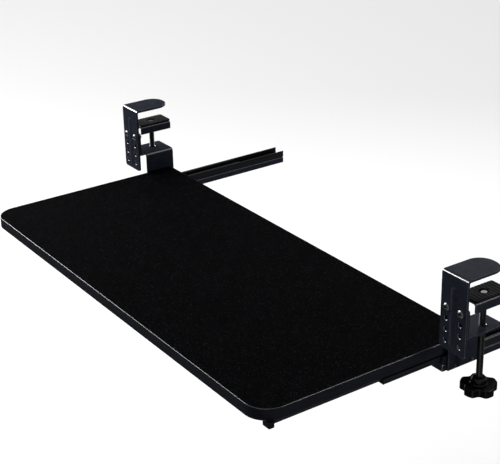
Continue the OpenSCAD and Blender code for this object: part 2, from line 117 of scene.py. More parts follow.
class Slot(Enum):
    """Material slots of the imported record."""

    LAMINATE = "tray_laminate"
    BAND = "edge_band"
    CORE = "board_core"
    POWDER = "powder_coat"
    SLIDE = "slide_steel"
    ZINC = "zinc_steel"
    BLACK = "black_steel"
    CAGE = "cage_steel"
    BALL = "ball_steel"
    KNOB = "knob_plastic"
    RUBBER = "rubber"


# Workbench: ways to add, pick, shape and finish a mesh


def near(a: float, b: float) -> bool:
    """Whether two lengths are the same to a thousandth of a millimetre."""
    return abs(a - b) < CLOSE


def box_mm(node: str) -> tuple[Vector, Vector]:
    """Lowest and highest corner of a CAD node's box, in millimetres."""
    low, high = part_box(node)
    return low / MM, high / MM


def middle_of(node: str) -> Vector:
    """Middle of a CAD node's box, in millimetres."""
    low, high = box_mm(node)
    return (low + high) / 2


def clear_selection() -> None:
    """Leaves nothing selected, so that the next operator meets only its own piece."""
    bpy.ops.object.select_all(action="DESELECT")


def activate(piece: Piece) -> None:
    """Makes a piece the active one, and the only one selected.

    Args:
        piece: the piece.
    """
    clear_selection()
    piece.select_set(True)
    bpy.context.view_layer.objects.active = piece


def discard(piece: Piece) -> None:
    """Removes a piece that is used up, with its mesh.

    Args:
        piece: the piece.
    """
    mesh = piece.data
    bpy.data.objects.remove(piece)
    bpy.data.meshes.remove(mesh)


def apply_place() -> None:
    """Puts the place, turn and scale of what is selected into its mesh."""
    bpy.ops.object.transform_apply(location=True, rotation=True, scale=True)


def take(name: str) -> Piece:
    """Names the object that an operator has just added.

    Args:
        name: name for the object and its mesh.

    Returns:
        The object, with its place and turn in its mesh.
    """
    piece = bpy.context.object
    piece.name = name
    piece.data.name = name
    apply_place()
    return piece


@contextmanager
def editing(piece: Piece) -> Iterator[None]:
    """Opens one piece in edit mode and closes it again.

    Args:
        piece: the piece to edit.

    Yields:
        Nothing; operators inside the block act on the piece.
    """
    activate(piece)
    bpy.ops.object.mode_set(mode="EDIT")
    yield
    bpy.ops.object.mode_set(mode="OBJECT")


def pick(piece: Piece, kind: Pick, test: Callable[[Vector, Vector], bool]) -> None:
    """Selects elements of the piece that is open in edit mode.

    Args:
        piece: the piece in edit mode.
        kind: what to select.
        test: gets a vertex's place and normal, an edge's two ends, or a face's middle and normal.
    """
    bpy.ops.mesh.select_mode(type=kind.value)
    bpy.ops.mesh.select_all(action="DESELECT")
    mesh = bmesh.from_edit_mesh(piece.data)
    if kind is Pick.VERT:
        chosen = [v for v in mesh.verts if test(v.co, v.normal)]
    elif kind is Pick.EDGE:
        chosen = [e for e in mesh.edges if test(e.verts[0].co, e.verts[1].co)]
    else:
        chosen = [f for f in mesh.faces if test(f.calc_center_median(), f.normal)]
    for item in chosen:
        item.select_set(True)
    mesh.select_flush_mode()
    bmesh.update_edit_mesh(piece.data)


def select_everything() -> None:
    """Selects all of the piece that is open in edit mode."""
    bpy.ops.mesh.select_all(action="SELECT")


def round_off(
    piece: Piece, kind: Pick, width: float, steps: int, test: Callable[[Vector, Vector], bool],
) -> None:
    """Rounds some corners or edges of the piece that is open in edit mode.

    Args:
        piece: the piece in edit mode.
        kind: whether corners or edges are rounded.
        width: how far the rounding reaches.
        steps: steps of the rounding.
        test: test for pick.
    """
    pick(piece, kind, test)
    affect = "VERTICES" if kind is Pick.VERT else "EDGES"
    bpy.ops.mesh.bevel(offset=width, segments=steps, affect=affect)


def both_ends(test: Callable[[Vector], bool]) -> Callable[[Vector, Vector], bool]:
    """Makes the test of an edge whose two ends both pass the test of a point."""
    return lambda a, b: test(a) and test(b)


def stands_upright(a: Vector, b: Vector) -> bool:
    """Whether an edge stands upright."""
    return near(a.x, b.x) and near(a.y, b.y)


def lies_level(a: Vector, b: Vector) -> bool:
    """Whether an edge lies level."""
    return near(a.z, b.z)


def extrude_by(x: float, y: float, z: float) -> None:
    """Extrudes what is selected by a step."""
    bpy.ops.mesh.extrude_region_move(TRANSFORM_OT_translate={"value": (x, y, z)})


def add_sheet(name: str, low: Sequence[float], high: Sequence[float]) -> Piece:
    """Adds a level or upright sheet that fills the box between two corners.

    Args:
        name: name of the piece.
        low: lowest corner.
        high: highest corner, at the same height or the same depth as the lowest.

    Returns:
        The sheet.
    """
    middle = [(a + b) / 2 for a, b in zip(low, high)]
    width, depth, height = (b - a for a, b in zip(low, high))
    level = near(height, 0)
    clear_selection()
    facing = Facing.UP if level else Facing.FRONT
    bpy.ops.mesh.primitive_plane_add(size=1, location=middle, rotation=facing.value)
    bpy.context.object.scale = (width, depth if level else height, 1)
    return take(name)


def add_box(name: str, low: Sequence[float], high: Sequence[float]) -> Piece:
    """Adds a box between two corners.

    Args:
        name: name of the piece.
        low: lowest corner.
        high: highest corner.

    Returns:
        The box.
    """
    clear_selection()
    bpy.ops.mesh.primitive_cube_add(size=1, location=[(a + b) / 2 for a, b in zip(low, high)])
    bpy.context.object.scale = [b - a for a, b in zip(low, high)]
    return take(name)


def draw_profile(name: str, points: Profile) -> Piece:
    """Draws an open line of edges in the XZ plane.

    Args:
        name: name of the piece.
        points: distance from the Z axis and height of each point.

    Returns:
        The line.
    """
    clear_selection()
    bpy.ops.mesh.primitive_plane_add(size=1)
    piece = take(name)
    with editing(piece):
        bpy.ops.mesh.select_mode(type="VERT")
        select_everything()
        bpy.ops.mesh.merge(type="CENTER")
        bpy.ops.transform.translate(value=(points[0][0], 0, points[0][1]))
        for (x0, z0), (x1, z1) in zip(points, points[1:]):
            step = {"value": (x1 - x0, 0, z1 - z0)}
            bpy.ops.mesh.extrude_vertices_move(TRANSFORM_OT_translate=step)
    return piece


def lathe(name: str, points: Profile, steps: int) -> Piece:
    """Turns a profile about the Z axis.

    Args:
        name: name of the piece.
        points: distance from the axis and height of each point, from one pole to the other.
        steps: number of flats round the axis.

    Returns:
        The closed turned shape.
    """
    piece = draw_profile(name, points)
    with editing(piece):
        select_everything()
        bpy.ops.mesh.spin(steps=steps, angle=math.tau, center=(0, 0, 0), axis=(0, 0, 1))
        merge_and_face_out()
    return piece


def merge_and_face_out() -> None:
    """Merges doubles of the piece in edit mode and turns its faces outwards."""
    select_everything()
    bpy.ops.mesh.remove_doubles(threshold=CLOSE)
    bpy.ops.mesh.normals_make_consistent(inside=False)


def round_edge(radius: float, x: float, z: float, start: float, count: int) -> list[tuple[float, float]]:
    """Points of a quarter round about (x, z), in count steps from a start angle in degrees."""
    angles = [math.radians(start + 90 * i / count) for i in range(count + 1)]
    return [(x + radius * math.cos(a), z + radius * math.sin(a)) for a in angles]


def stand(piece: Piece, place: Sequence[float], facing: Facing = Facing.UP) -> Piece:
    """Turns a piece and moves it to its place.

    Args:
        piece: a piece modelled at the origin.
        place: where its origin goes.
        facing: where its own +Z points.

    Returns:
        The same piece.
    """
    activate(piece)
    piece.rotation_euler = facing.value
    piece.location = place
    apply_place()
    return piece


def copy_of(piece: Piece, name: str) -> Piece:
    """Copies a piece with a mesh of its own.

    Args:
        piece: the piece to copy.
        name: name of the copy.

    Returns:
        The copy.
    """
    activate(piece)
    bpy.ops.object.duplicate(linked=False)
    return take(name)


def mirrored(piece: Piece, name: str) -> Piece:
    """Copies a right-hand piece to the left side.

    Args:
        piece: the right-hand piece, in millimetres.
        name: name of the copy.

    Returns:
        The left-hand piece.
    """
    other = copy_of(piece, name)
    other.scale = (-1, 1, 1)
    apply_place()
    return other


def join(pieces: Sequence[Piece], name: str) -> Piece:
    """Joins several solids into one object.

    Args:
        pieces: the solids.
        name: name of the joined object.

    Returns:
        The joined object.
    """
    clear_selection()
    for piece in pieces:
        piece.select_set(True)
    bpy.context.view_layer.objects.active = pieces[0]
    bpy.ops.object.join()
    return take(name)


def finish_with(piece: Piece, kind: str, **settings: object) -> None:
    """Adds a modifier and applies it.

    Args:
        piece: the piece to change.
        kind: Blender's name of the modifier.
        **settings: values of the modifier.
    """
    activate(piece)
    modifier = piece.modifiers.new(kind.title(), kind)
    for key, value in settings.items():
        setattr(modifier, key, value)
    bpy.ops.object.modifier_apply(modifier=modifier.name)


def combine(piece: Piece, tool: Piece, way: Merge) -> None:
    """Changes a piece by a closed tool shape, and removes the tool."""
    finish_with(piece, "BOOLEAN", object=tool, operation=way.value, solver="EXACT")
    discard(tool)


def soften(piece: Piece, width: float, steps: int = 3) -> None:
    """Rounds the sharp edges of a piece.

    Args:
        piece: the piece to change.
        width: how far the rounding reaches from each edge.
        steps: steps of the rounding.
    """
    finish_with(
        piece, "BEVEL", width=width, segments=steps, limit_method="ANGLE", angle_limit=SHARP_ANGLE,
        use_clamp_overlap=True,
    )


def fold_channel(
    name: str, low: Sequence[float], high: Sequence[float], thickness: float, bend: float, steps: int,
) -> Piece:
    """Folds both long sides of a sheet down into a channel that is open below.

    Args:
        name: name of the piece.
        low: lowest corner of the channel.
        high: highest corner of the channel.
        thickness: thickness of the sheet.
        bend: inner radius of the folds.
        steps: steps of each fold.

    Returns:
        The channel.
    """
    half = thickness / 2
    top = high[2] - half
    left, right = low[0] + half, high[0] - half
    piece = add_sheet(name, (left, low[1], top), (right, high[1], top))
    with editing(piece):
        for x in (left, right):
            fold = both_ends(lambda p: near(p.x, x) and near(p.z, top))
            pick(piece, Pick.EDGE, fold)
            extrude_by(0, 0, low[2] - top)
            round_off(piece, Pick.EDGE, bend + half, steps, fold)
        merge_and_face_out()
    finish_with(piece, "SOLIDIFY", thickness=thickness, offset=0, use_even_offset=True)
    return piece


def set_out(
    first: Piece, name: str, places: Sequence[Sequence[float]], facing: Facing,
) -> Piece:
    """Copies one piece to several places and joins the copies.

    Args:
        first: the piece, which is used up.
        name: name of the joined piece.
        places: where each copy stands.
        facing: where each copy's own +Z points.

    Returns:
        The joined piece.
    """
    copies = [stand(copy_of(first, name), place, facing) for place in places]
    discard(first)
    return join(copies, name)


def hex_corner(flats: float) -> float:
    """Distance from a hexagon's middle to its corners, from the distance across its flats."""
    return flats / 2 / math.cos(math.pi / HEX_SIDES)


def hex_bar(flats: float, low: float, high: float) -> Piece:
    """Adds a hexagon bar on the Z axis.

    Args:
        flats: distance across its flats.
        low: height of its lower end.
        high: height of its upper end.

    Returns:
        The bar.
    """
    clear_selection()
    bpy.ops.mesh.primitive_cylinder_add(
        vertices=HEX_SIDES, radius=hex_corner(flats), depth=high - low,
        location=(0, 0, (low + high) / 2), rotation=(0, 0, math.pi / HEX_SIDES),
    )
    return take("hexagon")


def hole_cutter(radius: float, length: float, flare: float) -> Piece:
    """Makes a drill shape that leaves a chamfered rim at both ends.

    Args:
        radius: radius of the hole.
        length: thickness of the drilled wall, which starts at z = 0.
        flare: width of the rim's chamfer.

    Returns:
        The drill shape, along +Z.
    """
    wide = radius + flare + RIM_OVERRUN
    points = [
        (0, -RIM_OVERRUN), (wide, -RIM_OVERRUN), (radius, flare),
        (radius, length - flare), (wide, length + RIM_OVERRUN), (0, length + RIM_OVERRUN),
    ]
    return lathe("cutter", points, CUTTER_STEPS)


def settle(piece: Piece) -> Piece:
    """Brings a finished mesh to metres, smooths its shading and marks its edges.

    Args:
        piece: the piece, in millimetres.

    Returns:
        The same piece, in metres.
    """
    with editing(piece):
        merge_and_face_out()
    piece.scale = (MM, MM, MM)
    apply_place()
    bpy.ops.object.shade_smooth_by_angle(angle=SMOOTH_ANGLE)
    finish_with(piece, "WEIGHTED_NORMAL", keep_sharp=True, weight=NORMAL_WEIGHT)
    mark_edges(piece)
    return piece


def mark_edges(piece: Piece) -> None:
    """Writes how far each narrow face turns away from the axes, up to 1 half-way between two of them.

    Args:
        piece: the finished piece, in metres.
    """
    mesh = piece.data
    mask = mesh.attributes.new(EDGE_MASK, "FLOAT", "FACE")
    for face in mesh.polygons:
        corners = [mesh.vertices[i].co for i in face.vertices]
        longest = max((a - b).length for a, b in zip(corners, corners[1:] + corners[:1]))
        if face.area < EDGE_WIDTH * MM * longest:
            turn = 1 - max(abs(part) for part in face.normal)
            mask.data[face.index].value = min(1.0, turn / DIAGONAL_TURN)


# Finishes: shared node groups and one material for each slot


class Graph:
    """Node tree with short ways to add and join nodes."""

    def __init__(self, tree: bpy.types.NodeTree) -> None:
        """Keeps the tree that nodes are added to."""
        self.tree = tree

    def add(self, kind: str, settings: dict[str, object] | None = None, **inputs: object) -> bpy.types.Node:
        """Adds a node and fills its inputs.

        Args:
            kind: Blender's type name of the node.
            settings: properties of the node itself.
            **inputs: values or sockets by input name, with underscores for spaces.

        Returns:
            The node.
        """
        node = self.tree.nodes.new(kind)
        for key, value in (settings or {}).items():
            setattr(node, key, value)
        for key, value in inputs.items():
            self.feed(node.inputs[key.replace("_", " ")], value)
        return node

    def feed(self, socket: Socket, value: object) -> None:
        """Joins a socket to another one, or sets its value.

        Args:
            socket: the input to fill.
            value: a socket to join it to, or a value.
        """
        if isinstance(value, Socket):
            self.tree.links.new(value, socket)
        else:
            socket.default_value = value

    def reckon(self, operation: str, *values: object, kind: str = "ShaderNodeMath") -> Socket:
        """Adds a sum of numbers or of vectors.

        Args:
            operation: Blender's name of the sum.
            *values: values or sockets, in order.
            kind: Blender's type name of the node.

        Returns:
            The socket of the result.
        """
        node = self.add(kind, {"operation": operation})
        for socket, value in zip(node.inputs, values):
            self.feed(socket, value)
        return node.outputs[0]

    def noise(self, **inputs: object) -> Socket:
        """Adds a noise and gives its value."""
        return self.add("ShaderNodeTexNoise", **inputs).outputs["Fac"]

    def remap(
        self, value: object, settings: dict[str, object] | None = None, **ends: float,
    ) -> Socket:
        """Adds a node that carries a value over from one range to another, by the ranges' ends."""
        return self.add("ShaderNodeMapRange", settings, Value=value, **ends).outputs["Result"]

    def tint(self, share: object, start: object, end: object) -> Socket:
        """Adds a mix of two colours.

        Args:
            share: how much of the end colour shows.
            start: colour at a share of 0.
            end: colour at a share of 1.

        Returns:
            The socket of the mixed colour.
        """
        node = self.add("ShaderNodeMix", {"data_type": "RGBA"})
        self.feed(node.inputs["Factor"], share)
        for key, value in (("A", start), ("B", end)):
            self.feed(next(s for s in node.inputs if s.name == key and s.type == "RGBA"), value)
        return next(s for s in node.outputs if s.type == "RGBA")


class SharedGroup:
    """Shader node group that several finishes place with their own values."""

    def __init__(self, name: str, inputs: dict[str, str], outputs: dict[str, str]) -> None:
        """Makes the group's sockets.

        Args:
            name: name of the group.
            inputs: socket type by input name.
            outputs: socket type by output name.
        """
        self.tree = bpy.data.node_groups.new(name, "ShaderNodeTree")
        for key, kind in inputs.items():
            self.tree.interface.new_socket(key, in_out="INPUT", socket_type=kind)
        for key, kind in outputs.items():
            self.tree.interface.new_socket(key, in_out="OUTPUT", socket_type=kind)
        self.graph = Graph(self.tree)
        self.inputs = self.graph.add("NodeGroupInput").outputs
        self.outputs = self.graph.add("NodeGroupOutput").inputs

    def give(self, **results: Socket) -> None:
        """Joins results to the group's outputs by name."""
        for key, socket in results.items():
            self.graph.feed(self.outputs[key], socket)

    def place(self, graph: Graph, **inputs: object) -> bpy.types.Node:
        """Places the group in a material's graph."""
        return graph.add("ShaderNodeGroup", {"node_tree": self.tree}, **inputs)


# Socket kinds and values of the shared groups, with scales in waves per metre
FLOAT = "NodeSocketFloat"
COLOUR = "NodeSocketColor"
VECTOR = "NodeSocketVector"
# Colour, scale and size of the laminate's pale flecks, which are painted glints of its pebbles
GLINT_FLECK_COLOUR = (0.018, 0.0188, 0.021, 1.0)
GLINT_FLECK_SCALE = 420.0
GLINT_FLECK_SIZE = (0.12, 0.34)
DUST_COLOUR = (0.32, 0.31, 0.30, 1.0)
DUST_SCALE = 90.0
PEBBLE_WANDER = 0.0022
WANDER_SCALE = 160.0
FINER_GRAIN = 4.0
EDGE_BREAKUP_SCALE = 240.0
STEEP_EDGE = (0.53, 0.58)


def make_mottle() -> SharedGroup:
    """Builds the group that drifts between two tones.

    Returns:
        A group with a colour and a slow mask.
    """
    group = SharedGroup(
        "mottle",
        {"Vector": VECTOR, "Scale": FLOAT, "Dark": COLOUR, "Light": COLOUR},
        {"Color": COLOUR, "Mask": FLOAT},
    )
    drift = group.graph.noise(
        Vector=group.inputs["Vector"], Scale=group.inputs["Scale"], Detail=4.0, Roughness=0.6,
    )
    mask = group.graph.remap(drift, From_Min=0.3, From_Max=0.7)
    group.give(Color=group.graph.tint(mask, group.inputs["Dark"], group.inputs["Light"]), Mask=mask)
    return group


def make_grain() -> SharedGroup:
    """Builds the group that gives a fine uneven height.

    Returns:
        A group with a height of two noise sizes.
    """
    group = SharedGroup("grain", {"Vector": VECTOR, "Scale": FLOAT, "Fine": FLOAT}, {"Height": FLOAT})
    place, scale = group.inputs["Vector"], group.inputs["Scale"]
    coarse = group.graph.noise(Vector=place, Scale=scale, Detail=2.0)
    finer = group.graph.reckon("MULTIPLY", scale, FINER_GRAIN)
    fine = group.graph.noise(Vector=place, Scale=finer, Detail=1.0)
    mix = group.graph.add("ShaderNodeMix", Factor=group.inputs["Fine"], A=coarse, B=fine)
    group.give(Height=mix.outputs["Result"])
    return group


def make_pebble() -> SharedGroup:
    """Builds the group that gives the pebbled skin of a laminate.

    Returns:
        A group that adds pale flecks, which are painted glints of the pebbles, to a colour and gives a height
        and a mask of the valleys.
    """
    group = SharedGroup(
        "pebble",
        {"Color": COLOUR, "Vector": VECTOR, "Scale": FLOAT},
        {"Color": COLOUR, "Height": FLOAT, "Valley": FLOAT},
    )
    graph = group.graph
    wander = graph.add("ShaderNodeTexNoise", Vector=group.inputs["Vector"], Scale=WANDER_SCALE, Detail=2.0)
    place = graph.reckon(
        "MULTIPLY_ADD", wander.outputs["Color"], [PEBBLE_WANDER] * 3, group.inputs["Vector"],
        kind="ShaderNodeVectorMath",
    )
    cells = graph.add(
        "ShaderNodeTexVoronoi", {"feature": "SMOOTH_F1"},
        Vector=place, Scale=group.inputs["Scale"], Smoothness=0.6,
    )
    smooth = {"interpolation_type": "SMOOTHSTEP"}
    valley = graph.remap(cells.outputs["Distance"], smooth, From_Min=0.25, From_Max=0.75)
    # Pale flecks on a few cells are painted glints where pebbles would catch the light
    glint_cells = graph.add("ShaderNodeTexVoronoi", Vector=place, Scale=GLINT_FLECK_SCALE)
    rare = graph.add("ShaderNodeSeparateColor", Color=glint_cells.outputs["Color"]).outputs["Red"]
    chosen = graph.remap(rare, From_Min=0.45, From_Max=1.0)
    near_end, far_end = GLINT_FLECK_SIZE
    dot = graph.remap(glint_cells.outputs["Distance"], From_Min=near_end, From_Max=far_end, To_Min=1.0, To_Max=0.0)
    glint_fleck = graph.reckon("MULTIPLY", chosen, dot)
    group.give(
        Color=graph.tint(glint_fleck, group.inputs["Color"], GLINT_FLECK_COLOUR),
        Height=graph.reckon("SUBTRACT", 1.0, valley),
        Valley=valley,
    )
    return group


def make_dust() -> SharedGroup:
    """Builds the group that lays a thin film of dust on faces that look up.

    Returns:
        A group that changes a colour.
    """
    group = SharedGroup("dust", {"Color": COLOUR, "Vector": VECTOR, "Amount": FLOAT}, {"Color": COLOUR})
    graph = group.graph
    normal = graph.add("ShaderNodeNewGeometry").outputs["Normal"]
    rise = graph.add("ShaderNodeSeparateXYZ", Vector=normal).outputs["Z"]
    up = graph.remap(rise, From_Min=0.3, From_Max=1.0)
    specks = graph.noise(Vector=group.inputs["Vector"], Scale=DUST_SCALE, Detail=6.0)
    patchy = graph.remap(specks, From_Min=0.45, From_Max=0.8)
    share = graph.reckon("MULTIPLY", graph.reckon("MULTIPLY", up, patchy), group.inputs["Amount"])
    group.give(Color=graph.tint(share, group.inputs["Color"], DUST_COLOUR))
    return group


def make_wear_highlight() -> SharedGroup:
    """Builds the group that makes edges and bends lighter and glossier; the lightening is part wear, part
    painted highlight.

    Returns:
        A group that lightens a colour at edges, part wear and part painted highlight, and gives the edges'
        gloss.
    """
    group = SharedGroup(
        "worn_edge_and_painted_highlight",
        {"Color": COLOUR, "Vector": VECTOR, "Light": COLOUR, "Wear": FLOAT, "Gloss": FLOAT},
        {"Color": COLOUR, "Coat": FLOAT},
    )
    graph = group.graph
    edge = graph.add("ShaderNodeAttribute", {"attribute_name": EDGE_MASK}).outputs["Fac"]
    # Lighter edges, broken up by noise: part wear, part painted highlight on bends, arrises and rib flanks
    edge_noise = graph.noise(Vector=group.inputs["Vector"], Scale=EDGE_BREAKUP_SCALE, Detail=3.0)
    broken = graph.remap(edge_noise, From_Min=0.35, From_Max=0.6)
    share = graph.reckon("MULTIPLY", graph.reckon("MULTIPLY", edge, broken), group.inputs["Wear"])
    steep = graph.remap(edge, From_Min=STEEP_EDGE[0], From_Max=STEEP_EDGE[1])
    group.give(
        Color=graph.tint(share, group.inputs["Color"], group.inputs["Light"]),
        Coat=graph.reckon("MULTIPLY", steep, group.inputs["Gloss"]),
    )
    return group


@dataclass(frozen=True)
class Groups:
    """The shared node groups."""

    mottle: SharedGroup
    grain: SharedGroup
    pebble: SharedGroup
    dust: SharedGroup
    wear_highlight: SharedGroup


@dataclass(frozen=True)
class Finish:
    """One surface finish, with its tones, roughness and grain.

    Scales are in waves per metre, stretch pulls mottle and grain out along an axis,
    and grain_depth is the height of the grain in millimetres. Edges are lightened by an
    amount towards a paler colour, part wear and part painted highlight on bends, arrises
    and rib flanks, and edge_gloss is the gloss that they take. Between pebbles the
    surface is rougher by valley_roughness, and grain_share is how much of the fine
    grain still shows on them.
    """

    slot: Slot
    dark: Colour
    light: Colour
    roughness: tuple[float, float]
    metallic: float = 0.0
    ior: float = 1.5
    shine: float = 0.5
    edge_gloss: float = 0.0
    # Amount and colour that edges lighten towards: part wear, part painted highlight
    wear: float = 0.0
    wear_highlight_colour: Colour = (0.05, 0.052, 0.058)
    coat_roughness: float = 0.16
    coat_ior: float = 1.9
    mottle_scale: float = 60.0
    stretch: tuple[float, float, float] = (1.0, 1.0, 1.0)
    grain_scale: float = 900.0
    grain_fine: float = 0.5
    grain_depth: float = 0.05
    pebble_scale: float = 0.0
    grain_share: float = 0.25
    valley_roughness: float = 0.2
    dust: float = 0.0

    def make(self, groups: Groups) -> bpy.types.Material:
        """Builds the material.

        Args:
            groups: the shared node groups.

        Returns:
            The material.
        """
        material = bpy.data.materials.new(self.slot.value)
        material.use_nodes = True
        graph = Graph(material.node_tree)
        shader = material.node_tree.nodes["Principled BSDF"].inputs
        shader["Metallic"].default_value = self.metallic
        shader["IOR"].default_value = self.ior
        shader["Specular IOR Level"].default_value = self.shine
        shader["Coat Roughness"].default_value = self.coat_roughness
        shader["Coat IOR"].default_value = self.coat_ior
        place = graph.add("ShaderNodeTexCoord").outputs["Object"]
        drawn = graph.add("ShaderNodeMapping", Vector=place, Scale=self.stretch).outputs["Vector"]
        tone = groups.mottle.place(
            graph, Vector=drawn, Scale=self.mottle_scale, Dark=(*self.dark, 1.0), Light=(*self.light, 1.0),
        ).outputs
        colour = tone["Color"]
        grain = groups.grain.place(graph, Vector=drawn, Scale=self.grain_scale, Fine=self.grain_fine)
        height = grain.outputs["Height"]
        roughness = graph.remap(tone["Mask"], To_Min=self.roughness[0], To_Max=self.roughness[1])
        if self.pebble_scale:
            pebble = groups.pebble.place(graph, Color=colour, Vector=place, Scale=self.pebble_scale).outputs
            colour = pebble["Color"]
            height = graph.reckon("MULTIPLY_ADD", height, self.grain_share, pebble["Height"])
            roughness = graph.reckon("MULTIPLY_ADD", pebble["Valley"], self.valley_roughness, roughness)
        # Edges lighten towards a paler colour, part wear and part painted highlight, and take a gloss coat
        if self.edge_gloss:
            wear_highlight = groups.wear_highlight.place(
                graph, Color=colour, Vector=place, Light=(*self.wear_highlight_colour, 1.0), Wear=self.wear,
                Gloss=self.edge_gloss,
            ).outputs
            colour = wear_highlight["Color"]
            graph.feed(shader["Coat Weight"], wear_highlight["Coat"])
        if self.dust:
            colour = groups.dust.place(graph, Color=colour, Vector=place, Amount=self.dust).outputs["Color"]
        bump = graph.add("ShaderNodeBump", Strength=1.0, Distance=self.grain_depth * MM, Height=height)
        graph.feed(shader["Base Color"], colour)
        graph.feed(shader["Roughness"], roughness)
        graph.feed(shader["Normal"], bump.outputs["Normal"])
        return material


# Edge lightening in the band, powder coat and black steel is part wear and part painted highlight on arrises,
# bends and rib flanks; the laminate's pale flecks are painted glints
FINISHES = (
    Finish(
        Slot.LAMINATE, (0.0009, 0.0009, 0.0011), (0.0016, 0.0016, 0.0019), (0.42, 0.5), ior=1.4, shine=0.0008,
        mottle_scale=40, grain_scale=1800, grain_depth=0.22, pebble_scale=620, dust=0.001,
    ),
    Finish(
        Slot.BAND, (0.0066, 0.0071, 0.0092), (0.0098, 0.0104, 0.0132), (0.36, 0.46), ior=1.38, shine=0.0004,
        edge_gloss=0.5, wear=0.3, mottle_scale=120, stretch=(0.3, 0.3, 1.6), grain_scale=700,
        grain_depth=0.02, dust=0.02,
    ),
    Finish(
        Slot.CORE, (0.24, 0.16, 0.09), (0.46, 0.34, 0.22), (0.75, 0.9), mottle_scale=500,
        stretch=(1, 1, 2.5), grain_scale=1500, grain_depth=0.2,
    ),
    Finish(
        Slot.POWDER, (0.0082, 0.0095, 0.0142), (0.0125, 0.0144, 0.0211), (0.20, 0.28), ior=1.45, shine=0.002,
        edge_gloss=1.0, wear=0.8, mottle_scale=70, grain_scale=650, grain_fine=0.35, grain_depth=0.03,
        dust=0.02,
    ),
    Finish(
        Slot.SLIDE, (0.0055, 0.0058, 0.0068), (0.0095, 0.0100, 0.0115), (0.3, 0.42), metallic=0.1, shine=0.01,
        mottle_scale=160, stretch=(1, 0.06, 1), grain_scale=1400, grain_depth=0.012, dust=0.02,
    ),
    Finish(
        Slot.ZINC, (0.42, 0.43, 0.45), (0.66, 0.67, 0.69), (0.22, 0.38), metallic=1.0,
        mottle_scale=420, grain_scale=2600, grain_depth=0.012,
    ),
    Finish(
        Slot.BLACK, (0.006, 0.006, 0.0066), (0.012, 0.012, 0.013), (0.22, 0.32), shine=0.07,
        edge_gloss=0.5, wear=0.4, mottle_scale=420, grain_scale=2600, grain_depth=0.012,
    ),
    Finish(
        Slot.CAGE, (0.006, 0.006, 0.0065), (0.012, 0.012, 0.0125), (0.35, 0.5), metallic=0.25, shine=0.1,
        mottle_scale=300, stretch=(1, 0.2, 1), grain_scale=2200, grain_depth=0.012,
    ),
    Finish(
        Slot.BALL, (0.66, 0.66, 0.67), (0.78, 0.78, 0.79), (0.06, 0.16), metallic=1.0,
        mottle_scale=900, grain_scale=3000, grain_depth=0.002,
    ),
    Finish(
        Slot.KNOB, (0.0022, 0.0022, 0.0026), (0.0040, 0.0040, 0.0046), (0.34, 0.46), ior=1.45, shine=0.004,
        edge_gloss=0.1, mottle_scale=150, grain_scale=2400, grain_fine=0.6, grain_depth=0.04, dust=0.02,
    ),
    Finish(
        Slot.RUBBER, (0.003, 0.003, 0.003), (0.0065, 0.0065, 0.0065), (0.7, 0.85), ior=1.4, shine=0.03,
        mottle_scale=200, grain_scale=1600, grain_depth=0.06, dust=0.03,
    ),
)


class Wardrobe:
    """Holds the finished materials and puts them on pieces."""

    def __init__(self) -> None:
        """Builds the shared groups and every finish."""
        groups = Groups(make_mottle(), make_grain(), make_pebble(), make_dust(), make_wear_highlight())
        self.materials = {finish.slot: finish.make(groups) for finish in FINISHES}

    def dress_node(self, node: str, slot: Slot) -> None:
        """Gives a carried-over CAD node its material.

        Args:
            node: name of the CAD node.
            slot: slot whose finish it takes.
        """
        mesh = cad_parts[node].data
        mesh.materials.clear()
        mesh.materials.append(self.materials[slot])
        LOG.info("dressed CAD node %s as %s", node, slot.value)

    def dress_piece(self, piece: Piece, slot: Slot, body: str, *nodes: str) -> None:
        """Gives a new piece its material, its body and the CAD nodes it stands for.

        Args:
            piece: the piece, still in millimetres.
            slot: slot whose finish it takes.
            body: CAD body that carries it.
            *nodes: CAD nodes that it replaces.
        """
        settle(piece)
        piece.data.materials.clear()
        piece.data.materials.append(self.materials[slot])
        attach(piece, body)
        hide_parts(*nodes)
        LOG.info("built %s on %s, %d faces", piece.name, body, len(piece.data.polygons))

    def dress_pair(self, piece: Piece, slot: Slot, body: str, base: str) -> None:
        """Dresses a right-hand piece and its mirrored copy.

        Args:
            piece: the right-hand piece, still in millimetres.
            slot: slot whose finish both take.
            body: body that carries both, or the start of the two bodies' names with an underscore.
            base: name of the CAD nodes that they replace, without the side.
        """
        pair = {Side.RIGHT: piece, Side.LEFT: mirrored(piece, Side.LEFT.node(f"{base}_look"))}
        piece.name = Side.RIGHT.node(f"{base}_look")
        for side, item in pair.items():
            carrier = side.node(body.rstrip("_")) if body.endswith("_") else body
            self.dress_piece(item, slot, carrier, side.node(base))


FRAME_BODY = "clamp_frame"
TRAY_BODY = "tray"
JAW_BODIES = "jaw_"
SCREW_BODIES = "screw_"


# Sub-assemblies


